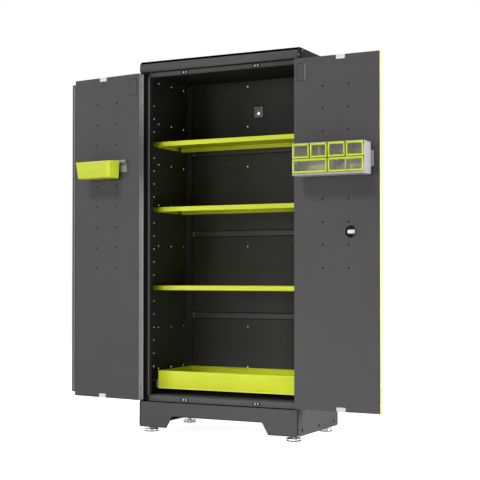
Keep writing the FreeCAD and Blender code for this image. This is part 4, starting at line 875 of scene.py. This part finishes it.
# %% Feet
PAD, PAD_TOP, SOLE, GROOVE, LID = 0.034, 0.0145, 0.0055, 0.0112, 0.0132
HEX_FLATS, HEX_LOW, HEX_HIGH = 0.017, 0.017, 0.025
STUD, THREAD, STUD_TOP = 0.005, 0.0015, 0.0745
band_outline = [(0.0, SOLE), (PAD - 0.0006, SOLE), (PAD, SOLE + 0.0008), (PAD, GROOVE - 0.0008),
                (PAD - 0.0006, GROOVE), (0.0, GROOVE)]
lid_outline = [(0.0, LID), (PAD - 0.0014, LID), (PAD - 0.0020, PAD_TOP), (0.012, PAD_TOP), (0.0115, 0.0158),
               (0.008, HEX_LOW), (0.0, HEX_LOW)]
sole_outline = [(0.0, 0.0), (PAD - 0.0010, 0.0), (PAD - 0.0003, 0.0008), (PAD - 0.0003, SOLE), (0.0, SOLE)]
# A black ring of painted shade in the groove between band and lid.
groove_shade_outline = [(0.0, GROOVE), (PAD - 0.0004, GROOVE), (PAD - 0.0004, LID), (0.0, LID)]
stud_outline = [(0.0, HEX_HIGH)]
for ring in range(int((STUD_TOP - HEX_HIGH) / THREAD)):
    stud_outline += [(STUD - 0.0009, HEX_HIGH + ring * THREAD), (STUD, HEX_HIGH + (ring + 0.5) * THREAD)]
stud_outline += [(STUD - 0.0012, STUD_TOP), (0.0, STUD_TOP)]
for foot in ("foot_front_left", "foot_front_right", "foot_rear_left", "foot_rear_right"):
    low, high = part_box(foot)
    place = Vector(((low.x + high.x) / 2, (low.y + high.y) / 2, 0.0))
    spanner_hex = bmesh.new()
    stand = Matrix.Translation(place + Vector((0.0, 0.0, (HEX_LOW + HEX_HIGH) / 2)))
    bmesh.ops.create_cone(spanner_hex, cap_ends=True, segments=6, radius1=HEX_FLATS / math.sqrt(3),
                          radius2=HEX_FLATS / math.sqrt(3), depth=HEX_HIGH - HEX_LOW, matrix=stand)
    round_edges(spanner_hex, spanner_hex.edges[:], 0.0006, 2)
    steel = join([lathe(band_outline, place, steps=40), lathe(lid_outline, place, steps=40), spanner_hex,
                  lathe(stud_outline, place, steps=14)])
    made = add_piece(foot + "_steel", steel, CHROME, BODY_OF[foot], (foot,))
    rubber = join([lathe(sole_outline, place, steps=40), lathe(groove_shade_outline, place, steps=40)])
    add_piece(foot + "_rubber", rubber, BLACK_RUBBER_AND_SHADE, BODY_OF[foot])
    print(made.name, "has", len(made.data.polygons), "faces")

# %% [markdown]
# ## The lock
# Outside there is a black turn knob with a raised grip. Inside, behind a round hole in the liner, its
# spindle turns a blackened cam with two pins that push the rods up and down, and a bright lever lies over
# them. Knob and cam are one CAD piece that turns as a whole, so the new pieces ride on the same body.

# %% Knob
LOCK = Vector((0.1465, 0.0, 0.965))
LOCK_BODY = BODY_OF["lock_knob"]
COLLAR_FACE = FRONT - 0.0029
KNOB, KNOB_DEPTH, GRIP_HALF, GRIP_REACH = 0.017, 0.006, 0.0045, 0.8
grip_front = shut_box("lock_knob", "right")[0].y
dial = lathe([(0.0, 0.0), (KNOB, 0.0), (KNOB, 0.0045), (KNOB - 0.0015, KNOB_DEPTH), (0.0, KNOB_DEPTH)],
             (LOCK.x, COLLAR_FACE, LOCK.z), (0, -1, 0), 36)
grip = slab((LOCK.x - GRIP_HALF, LOCK.x + GRIP_HALF), (grip_front, COLLAR_FACE - KNOB_DEPTH + 0.001),
            (LOCK.z - GRIP_REACH * KNOB, LOCK.z + GRIP_REACH * KNOB), 0.0022, 3)
add_piece("turn_knob", join([dial, grip]), BLACK_PLASTIC_AND_SHADE, LOCK_BODY, ("lock_knob",),
          SWING["right"])
print("knob", round(2000 * KNOB), "mm across")

# %% Cam and lever
CAM_FACE = FRONT + 0.022
CAM, CAM_THICK, CAM_PIN, PIN_CIRCLE = 0.019, 0.003, 0.003, 0.014
HUB, HUB_RISE, SPINDLE = 0.0085, 0.002, 0.006
LEVER_HALF, LEVER_RISE, LEVER_THICK, LEVER_FACE = 0.0185, 0.0085, 0.0018, CAM_FACE + 0.0069
cam = lathe([(0.0, 0.0), (CAM - 0.0005, 0.0), (CAM, 0.0005), (CAM, CAM_THICK - 0.0005),
             (CAM - 0.0005, CAM_THICK), (HUB, CAM_THICK), (HUB, CAM_THICK + HUB_RISE),
             (0.0, CAM_THICK + HUB_RISE)], (LOCK.x, CAM_FACE, LOCK.z), (0, 1, 0), 36)
reach = CAM_FACE - COLLAR_FACE
spindle = lathe([(0.0, 0.0), (SPINDLE, 0.0), (SPINDLE, reach), (0.0, reach)], (LOCK.x, COLLAR_FACE, LOCK.z),
                (0, 1, 0), 20)
arm = PIN_CIRCLE * math.sin(math.radians(45))
pins = [lathe([(0.0, 0.0), (CAM_PIN, 0.0), (CAM_PIN, 0.006), (CAM_PIN - 0.0006, 0.0064), (0.0, 0.0064)],
              (LOCK.x + side * arm, CAM_FACE, LOCK.z - side * arm), (0, 1, 0), 16) for side in (-1, 1)]
add_piece("lock_cam", join([cam, spindle] + pins), BLACK_STEEL, LOCK_BODY, turn=SWING["right"])
boss = lathe([(0.0, 0.0), (SPINDLE, 0.0), (SPINDLE, 0.0045), (0.0, 0.0045)],
             (LOCK.x, LEVER_FACE - 0.004, LOCK.z), (0, 1, 0), 20)
lever = slab((LOCK.x - LEVER_HALF, LOCK.x + LEVER_HALF), (LEVER_FACE, LEVER_FACE + LEVER_THICK),
             (LOCK.z - LEVER_RISE, LOCK.z + LEVER_RISE), 0.0008, 2)
add_piece("lock_lever", join([boss, lever]), ZINC, LOCK_BODY, turn=SWING["right"])
print("lock with", len(pins), "cam pins and a lever")

# %% [markdown]
# ## The bin
# The bin is moulded in lime plastic: wider at the top so that it leaves the mould, with round front
# corners, a rim that drops towards the front and a thicker bead along it. A cube is drawn in at the bottom,
# its upright front edges are bevelled, its lid is taken off and the rest gets a wall thickness. The bead is
# made by the same function, only shallow and a little larger.

# %% A tub
def tub(low, high, side, nose, rise, corner, wall, has_floor=True, has_front=True):
    """An open box that narrows by side and nose towards its floor, with a rim that rises to the rear."""
    shape = block(low, high)
    middle = (Vector(low) + Vector(high)) / 2
    for corner_point in shape.verts:
        spot = corner_point.co
        if spot.z < middle.z:
            spot.x += side if spot.x < middle.x else -side
            spot.y -= nose if spot.y > middle.y else 0.0
        elif spot.y < middle.y:
            spot.z += rise
    upright = [e for e in shape.edges if abs(e.verts[0].co.z - e.verts[1].co.z) > 0.5 * (high[2] - low[2])
               and min(v.co.y for v in e.verts) > middle.y]
    round_edges(shape, upright, corner, 6)
    lids = [f for f in shape.faces if f.normal.z > 0.8 or (f.normal.z < -0.8 and not has_floor)
            or (f.normal.y > 0.8 and not has_front)]
    bmesh.ops.delete(shape, geom=lids, context="FACES_ONLY")
    if has_floor:
        foot_edges = [e for e in shape.edges if all(v.co.z < low[2] + 1e-6 for v in e.verts)]
        round_edges(shape, foot_edges, 0.005, 3)
    bmesh.ops.solidify(shape, geom=shape.faces[:], thickness=wall)
    return shape


print("tub ready")

# %% Bin
BIN_LOW, BIN_HIGH = shut_box("storage_bin", "left")
BIN_REAR, BIN_RIM, BIN_RISE, BIN_BEAD = FRONT + 0.051, 1.3337, 0.007, 0.0055
BIN_WALL, BIN_CORNER, BIN_INSET = 0.0022, 0.016, 0.001
BIN_DRAFT, BEAD_DRAFT = (0.006, 0.012), (0.0004, 0.0008)
HOOK_SIDE, HOOK_HALF, HOOK_REACH = 0.060, 0.013, 0.007
bin_body = tub(Vector((BIN_LOW.x + BIN_INSET, BIN_REAR, BIN_LOW.z)),
               Vector((BIN_HIGH.x - BIN_INSET, BIN_HIGH.y - BIN_INSET, BIN_RIM)),
               *BIN_DRAFT, BIN_RISE, BIN_CORNER, BIN_WALL)
bin_bead = tub(Vector((BIN_LOW.x, BIN_REAR, BIN_RIM - BIN_BEAD)), Vector((BIN_HIGH.x, BIN_HIGH.y, BIN_RIM)),
               *BEAD_DRAFT, 0.0, BIN_CORNER, BIN_WALL, has_floor=False)
for point in bin_bead.verts:
    point.co.z += BIN_RISE * (BIN_HIGH.y - point.co.y) / (BIN_HIGH.y - BIN_REAR)
hooks = []
for side in (-1, 1):
    x = (BIN_LOW.x + BIN_HIGH.x) / 2 + side * HOOK_SIDE
    hook_width = (x - HOOK_HALF, x + HOOK_HALF)
    hooks.append(slab(hook_width, (BIN_REAR - HOOK_REACH, BIN_REAR + BIN_WALL),
                      (BIN_HIGH.z - BIN_WALL, BIN_HIGH.z), 0.0006))
    hooks.append(slab(hook_width, (BIN_REAR, BIN_REAR + BIN_WALL), (BIN_RIM, BIN_HIGH.z), 0.0006))
add_to_door("left", "lime_bin", join([bin_body, bin_bead] + hooks), LIME_PLASTIC,
            ("storage_bin",))
print("bin with", len(hooks) // 2, "hooks")

# %% [markdown]
# ## Drawers and their housing
# Each drawer front is a lime frame round a clear window, with a lip along the top to pull it by. The frame
# is a rounded plate with an inset face taken out. Behind it is an open tub, in two of the drawers with a
# divider. The window is a pane of its own, because it has its own finish. The housing is a copy of the CAD
# piece with its front rim rounded, and a sill under the lower drawers. Black strips of painted shade stand
# in the narrow gaps between the fronts, where no light reaches.

# %% Drawers
GRIP_DEPTH, GRIP_DROP, FRONT_THICK, TUB_WALL = 0.004, 0.008, 0.003, 0.0016
WINDOW_SIDE, WINDOW_TOP, WINDOW_FOOT, PANE = 0.0062, 0.0105, 0.0085, 0.001
FRAME_INSET, FRAME_CORNER, TUB_SHARE = 0.001, 0.005, 0.62
END_INSET, END_GAP, RIM_RISE = 0.0006, 0.006, 0.0095
DIVIDER_DEPTH = {"small_drawer_2": 0.032, "wide_drawer_2": 0.052}
DRAWERS = ["small_drawer_%d" % k for k in range(1, 5)] + ["wide_drawer_1", "wide_drawer_2"]
HOUSING_LOW, HOUSING_HIGH = shut_box("organizer_housing", "right")


def drawer_frame(left, right, bottom, top, face):
    """The lime front of a drawer, with its middle open for the window."""
    front = flat_plate(Vector((left, face, bottom)), Vector((right, face, top)), FRAME_CORNER, 5)
    inner = open_middle(front, WINDOW_SIDE)
    for point in inner.verts:
        point.co.x = min(max(point.co.x, left + WINDOW_SIDE), right - WINDOW_SIDE)
        point.co.z = min(max(point.co.z, bottom + WINDOW_FOOT), top - WINDOW_TOP)
    bmesh.ops.delete(front, geom=[inner], context="FACES_ONLY")
    bmesh.ops.remove_doubles(front, verts=front.verts, dist=0.000001)
    thicken(front, -FRONT_THICK)
    round_edges(front, front_rims(front, face), 0.0012, 3)
    return front


for drawer in DRAWERS:
    low, high = shut_box(drawer, "right")
    low.z = max(low.z, HOUSING_LOW.z + RIM_RISE + 0.001)
    face = high.y - GRIP_DEPTH
    back = face - FRONT_THICK
    left = low.x + (END_INSET if low.x - HOUSING_LOW.x < END_GAP else FRAME_INSET)
    right = high.x - (END_INSET if HOUSING_HIGH.x - high.x < END_GAP else FRAME_INSET)
    pull = slab((left + 0.001, right - 0.001), (face - 0.001, high.y), (high.z - GRIP_DROP, high.z),
                0.0019, 4)
    tub_top = low.z + TUB_SHARE * (high.z - low.z)
    shell = tub(low, (high.x, back, tub_top), 0.0, 0.0, 0.0, 0.002, TUB_WALL, has_front=False)
    shapes = [drawer_frame(left, right, low.z, high.z, face), pull, shell]
    if drawer in DIVIDER_DEPTH:
        middle = (low.x + high.x) / 2
        shapes.append(slab((middle - TUB_WALL / 2, middle + TUB_WALL / 2),
                           (back - DIVIDER_DEPTH[drawer], back),
                           (low.z + TUB_WALL, high.z - GRIP_DROP), 0.0004, 1))
    add_piece(drawer + "_tub", join(shapes), LIME_PLASTIC, BODY_OF[drawer], (drawer,),
              SWING["right"])
    pane = slab((left + WINDOW_SIDE, right - WINDOW_SIDE), (back, back + PANE),
                (low.z + WINDOW_FOOT, high.z - WINDOW_TOP), 0.0003, 1)
    add_piece(drawer + "_window", pane, WINDOW, BODY_OF[drawer], turn=SWING["right"])
    print(drawer, "is", round(1000 * (high.x - low.x)), "mm wide")

# %% Housing
RIM_WIDTH, SILL_LAP, SILL_PROUD = 0.002, 0.002, 0.003
housing = merged_copy("organizer_housing", RIM_WIDTH)
bmesh.ops.transform(housing, matrix=SWING["right"].inverted(), verts=housing.verts)


def on_rim(edge):
    """An edge of the outer rim at the front of the housing."""
    spot = (edge.verts[0].co + edge.verts[1].co) / 2
    near = min(spot.x - HOUSING_LOW.x, HOUSING_HIGH.x - spot.x,
               spot.z - HOUSING_LOW.z, HOUSING_HIGH.z - spot.z)
    return near < RIM_WIDTH and all(abs(v.co.y - HOUSING_HIGH.y) < 1e-5 for v in edge.verts)


rim = [e for e in housing.edges if on_rim(e)]
round_edges(housing, rim, 0.0018, 3)
sill = slab((HOUSING_LOW.x, HOUSING_HIGH.x), (HOUSING_HIGH.y - SILL_LAP, HOUSING_HIGH.y + SILL_PROUD),
            (HOUSING_LOW.z, HOUSING_LOW.z + RIM_RISE), 0.0028, 4)
add_to_door("right", "drawer_housing", join([housing, sill]), GREY_PLASTIC,
            ("organizer_housing",))
print("housing rim has", len(rim), "edges")

# %% Painted shade between the drawers
GAP_DEPTHS, GAP_EDGE = (HOUSING_HIGH.y, HOUSING_HIGH.y + 0.0006), 0.0014


def drawer_row(kind):
    """Boxes of one kind of drawer, from left to right."""
    boxes = [shut_box(drawer, "right") for drawer in DRAWERS if drawer.startswith(kind)]
    return sorted(boxes, key=lambda box: box[0].x)


UPPER_ROW, LOWER_ROW = drawer_row("small"), drawer_row("wide")
# Black strips of painted shade in the gaps between the drawer fronts.
gap_shade_strips = []
for row in (UPPER_ROW, LOWER_ROW):
    ends = [row[0][0].x - GAP_EDGE] + [corner.x for box in row for corner in box] + [row[-1][1].x + GAP_EDGE]
    gap_shade_strips += [slab(gap, GAP_DEPTHS, (row[0][0].z, row[0][1].z), 0.0002, 1)
                   for gap in zip(ends[::2], ends[1::2])]
gap_shade_strips.append(slab((LOWER_ROW[0][0].x - GAP_EDGE, LOWER_ROW[-1][1].x + GAP_EDGE), GAP_DEPTHS,
                       (LOWER_ROW[0][1].z, UPPER_ROW[0][0].z), 0.0002, 1))
add_to_door("right", "drawer_gap_shade_strips", join(gap_shade_strips), BLACK_PLASTIC_AND_SHADE)
print(len(gap_shade_strips), "dark strips")

# %% [markdown]
# ## Edges of the doors
# A strip covers each door's hinge edge, painted a lighter grey as painted light, with a paler strip
# along its front as a painted highlight and flush black screws near the hinges. A black ring of painted
# shadow frames each upper hinge plate, and the plate on the right door has one long edge turned out as
# a stiffener, painted lighter as a painted highlight. Down the free edge of the left door runs a strip
# that laps behind the other door, and a rolled bead on it is painted lighter as a painted highlight.

# %% Hinge edges
EDGE_COVER, EDGE_LAP, FOLD_RISE, FOLD_WIDTH, END_MARGIN = 0.0002, 0.0004, 0.0003, 0.006, 0.003
FLUSH = [(0.0, -0.0008), (0.0010, -0.0008), (0.0014, 0.0001), (0.0038, 0.0001), (0.0040, 0.0), (0.0, 0.0)]
EDGE_SCREW_INSETS = (0.013, 0.062)
door_span = (DOOR_LOW + END_MARGIN, DOOR_HIGH - END_MARGIN)
fold_front = FRONT + END_MARGIN
for door, sign in DOORS:
    # A strip painted lighter as painted light, and a paler strip on its front as a painted highlight.
    cover = slab(mirrored(sign, HINGE_SIDE - EDGE_LAP, HINGE_SIDE + EDGE_COVER), (fold_front, LINER - 0.001),
                 door_span, NICK, 1)
    add_to_door(door, door + "_hinge_edge_painted_light", cover, EDGE_HIGHLIGHT_COAT)
    pale = slab(mirrored(sign, HINGE_SIDE, HINGE_SIDE + EDGE_COVER + FOLD_RISE),
                (fold_front, fold_front + FOLD_WIDTH), door_span, NICK, 1)
    add_to_door(door, door + "_hinge_fold_highlight", pale, PALE_HIGHLIGHT_COAT)
    screws = [lathe(FLUSH, (sign * (HINGE_SIDE + EDGE_COVER), (FRONT + LINER) / 2, z), (sign, 0, 0), 14)
              for inset in EDGE_SCREW_INSETS for z in (DOOR_LOW + inset, DOOR_HIGH - inset)]
    add_to_door(door, door + "_edge_screws", join(screws), BLACK_PLASTIC_AND_SHADE)
    print(door, "hinge edge with", len(screws), "screws")

# %% Hinge plates
PLATE_EDGE, PLATE_WIDTH, PLATE_END, PLATE_HEIGHT, PLATE_GAP = 0.016, 0.041, 0.026, 0.078, 0.002
SHADOW_RING_FACE, SHADOW_RING_THICK = LINER + 0.0003, 0.0006
plate_bottom = DOOR_HIGH - PLATE_END - PLATE_HEIGHT
plate_inner = HINGE_SIDE - PLATE_EDGE - PLATE_WIDTH
for door, sign in DOORS:
    ends = mirrored(sign, HINGE_SIDE - PLATE_EDGE, plate_inner)
    # A black ring of painted shadow round each upper hinge plate.
    ring = flat_ring(Vector((ends[0] - PLATE_GAP, SHADOW_RING_FACE, plate_bottom - PLATE_GAP)),
                     Vector((ends[1] + PLATE_GAP, SHADOW_RING_FACE, plate_bottom + PLATE_HEIGHT + PLATE_GAP)),
                     0.003, 3, PLATE_GAP + 0.0002, -SHADOW_RING_THICK)
    add_to_door(door, door + "_plate_shadow_ring", ring, BLACK_PLASTIC_AND_SHADE)
# A stiffener painted lighter, as a painted highlight.
stiffener = slab((plate_inner - 0.001, plate_inner + 0.001), (LINER, LINER + 0.006),
                 (plate_bottom + 0.001, plate_bottom + PLATE_HEIGHT - 0.001), 0.0007, 2)
add_to_door("right", "right_hinge_stiffener_highlight", stiffener, EDGE_HIGHLIGHT_COAT)
print("upper hinge plates", round(1000 * PLATE_HEIGHT), "mm high")

# %% Bead on the left door
LIP_LOW, LIP_HIGH = shut_box("left_door_astragal", "left")
LIP_BEAD, LIP_BEAD_RISE, LIP_END = (-FREE_SIDE - 0.0005, -FREE_SIDE + 0.0075), 0.002, 0.006


def is_lip_edge(edge):
    """An upright edge on the face of the bead."""
    return along(2)(edge) and edge.verts[0].co.y > LIP_HIGH.y + LIP_BEAD_RISE / 2


# A bead painted lighter, as a painted highlight.
bead = slab(LIP_BEAD, (LIP_HIGH.y, LIP_HIGH.y + LIP_BEAD_RISE), (LIP_LOW.z + LIP_END, LIP_HIGH.z - LIP_END),
            0.0019, 4, is_lip_edge)
add_to_door("left", "left_door_highlight_bead", bead, EDGE_HIGHLIGHT_COAT)
print("bead is", round(LIP_HIGH.z - LIP_LOW.z - 2 * LIP_END, 3), "m long")

# %% [markdown]
# ## Tray and slides
# The bright line along the lower edge of the tray's front is a painted highlight, and each slide ends in a
# zinc clip. Both are thin slabs. The clips ride with the inner slide members, which come forward with the
# tray, because clips fixed to the cabinet would stand in their way.

# %% Tray highlight and slide ends
TRAY_LOW, TRAY_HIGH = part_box("tray_pan")
TRAY_CORNER, TRAY_HIGHLIGHT_SPAN = 0.003, (TRAY_LOW.z + 0.0005, TRAY_LOW.z + 0.0045)
# A brighter lime slab as a painted highlight on the tray's lower edge.
tray_highlight_line = slab((TRAY_LOW.x + TRAY_CORNER, TRAY_HIGH.x - TRAY_CORNER), (TRAY_LOW.y - 0.0005, TRAY_LOW.y),
                 TRAY_HIGHLIGHT_SPAN, 0.0003, 1)
add_piece("tray_highlight_line", tray_highlight_line, LIME_HIGHLIGHT_COAT, BODY_OF["tray_pan"])
SLIDE_LOW, SLIDE_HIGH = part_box("slide_outer_members")
CLIP_THICK, CLIP_INSET, CLIP_MARGIN = 0.0006, 0.001, 0.002
slide_ends = [slab(mirrored(side, SLIDE_HIGH.x - CLIP_INSET, TRAY_HIGH.x + CLIP_INSET),
                   (SLIDE_LOW.y - CLIP_THICK, SLIDE_LOW.y),
                   (SLIDE_LOW.z + CLIP_MARGIN, SLIDE_HIGH.z - CLIP_MARGIN), 0.0003, 1) for side in (-1, 1)]
add_piece("slide_end_clips", join(slide_ends), ZINC, BODY_OF["slide_inner_members"])
print("tray bead and", len(slide_ends), "slide ends")

# %% [markdown]
# ## Light for the studio
# The floor and the surroundings are white, as for a catalogue picture. Two large soft boxes at the front
# left are the key light, and one high in front lights the shelves. A tall strip on the right gives the
# right-hand edges their bright lines, a weak narrow box lifts the base, and one box behind keeps the back
# readable. Floor and surroundings glow only for rays that show them to the camera, directly, in gloss or
# through clear plastic, so they look white and throw hardly any light of their own.

# %% Floor
scene.view_settings.view_transform = "Standard"
FLOOR_GLOW = 0.92


def camera_sees(wire):
    """1 for rays that show the surroundings: straight from the camera, in gloss or through clear plastic."""
    paths = [wire.node("ShaderNodeLightPath", out=name)
             for name in ("Is Camera Ray", "Is Glossy Ray", "Is Transmission Ray")]
    return paths[0].maximum(paths[1]).maximum(paths[2])


floor_shape = bmesh.new()
bmesh.ops.create_grid(floor_shape, x_segments=1, y_segments=1, size=14.0)
floor_mesh = bpy.data.meshes.new("studio_floor")
floor_shape.to_mesh(floor_mesh)
floor_shape.free()
floor = bpy.data.objects.new("studio_floor", floor_mesh)
scene.collection.objects.link(floor)
floor_paint, floor_shader, floor_place = blank_finish("white_floor")
floor_shader["Base Color"].default_value = (0.80, 0.80, 0.80, 1.0)
floor_shader["Roughness"].default_value = 0.8
floor_shader["Specular IOR Level"].default_value = 0.1
floor_shader["Emission Color"].default_value = (1.0, 1.0, 1.0, 1.0)
floor_place.feed(floor_shader["Emission Strength"], camera_sees(floor_place) * FLOOR_GLOW)
floor_mesh.materials.append(floor_paint)
print("floor ready")

# %% Surroundings and lamps
world = bpy.data.worlds.new("studio_surroundings")
scene.world = world
world.use_nodes = True
AMBIENT = 0.02
surround = Wire(world.node_tree)
background = world.node_tree.nodes["Background"].inputs
background["Color"].default_value = (1.0, 1.0, 1.0, 1.0)
surround.feed(background["Strength"], camera_sees(surround) * (1.0 - AMBIENT) + AMBIENT)


def soft_box(name, place, aim, size, power, spread=180.0):
    """A rectangular lamp at a place, turned towards a point, with its beam held to a spread in degrees."""
    lamp = bpy.data.lights.new(name, "AREA")
    lamp.shape = "RECTANGLE"
    lamp.size, lamp.size_y = size
    lamp.energy = power
    lamp.spread = math.radians(spread)
    made = bpy.data.objects.new(name, lamp)
    made.location = place
    made.rotation_euler = (Vector(aim) - Vector(place)).to_track_quat("-Z", "Y").to_euler()
    scene.collection.objects.link(made)
    return made


LAMPS = [soft_box("left_box", (-4.6, -5.2, 1.2), (0.0, 0.0, 0.9), (1.8, 1.8), 105.0),
         soft_box("front_box", (-2.5, -6.8, 1.4), (0.0, 0.0, 0.9), (1.6, 1.6), 85.0),
         soft_box("top_box", (-1.6, -6.5, 8.0), (0.0, -0.1, 0.9), (3.5, 2.0), 480.0),
         soft_box("right_strip", (6.5, -0.75, 0.8), (0.0, -0.15, 0.7), (0.6, 1.8), 440.0),
         soft_box("low_box", (3.2, -5.6, 0.35), (0.45, -0.15, 0.15), (0.8, 0.8), 1.2, 16.0),
         soft_box("back_box", (-1.4, 5.6, 2.6), (0.0, 0.3, 0.9), (1.8, 1.8), 130.0)]
print(len(LAMPS), "lamps, ambient", AMBIENT)
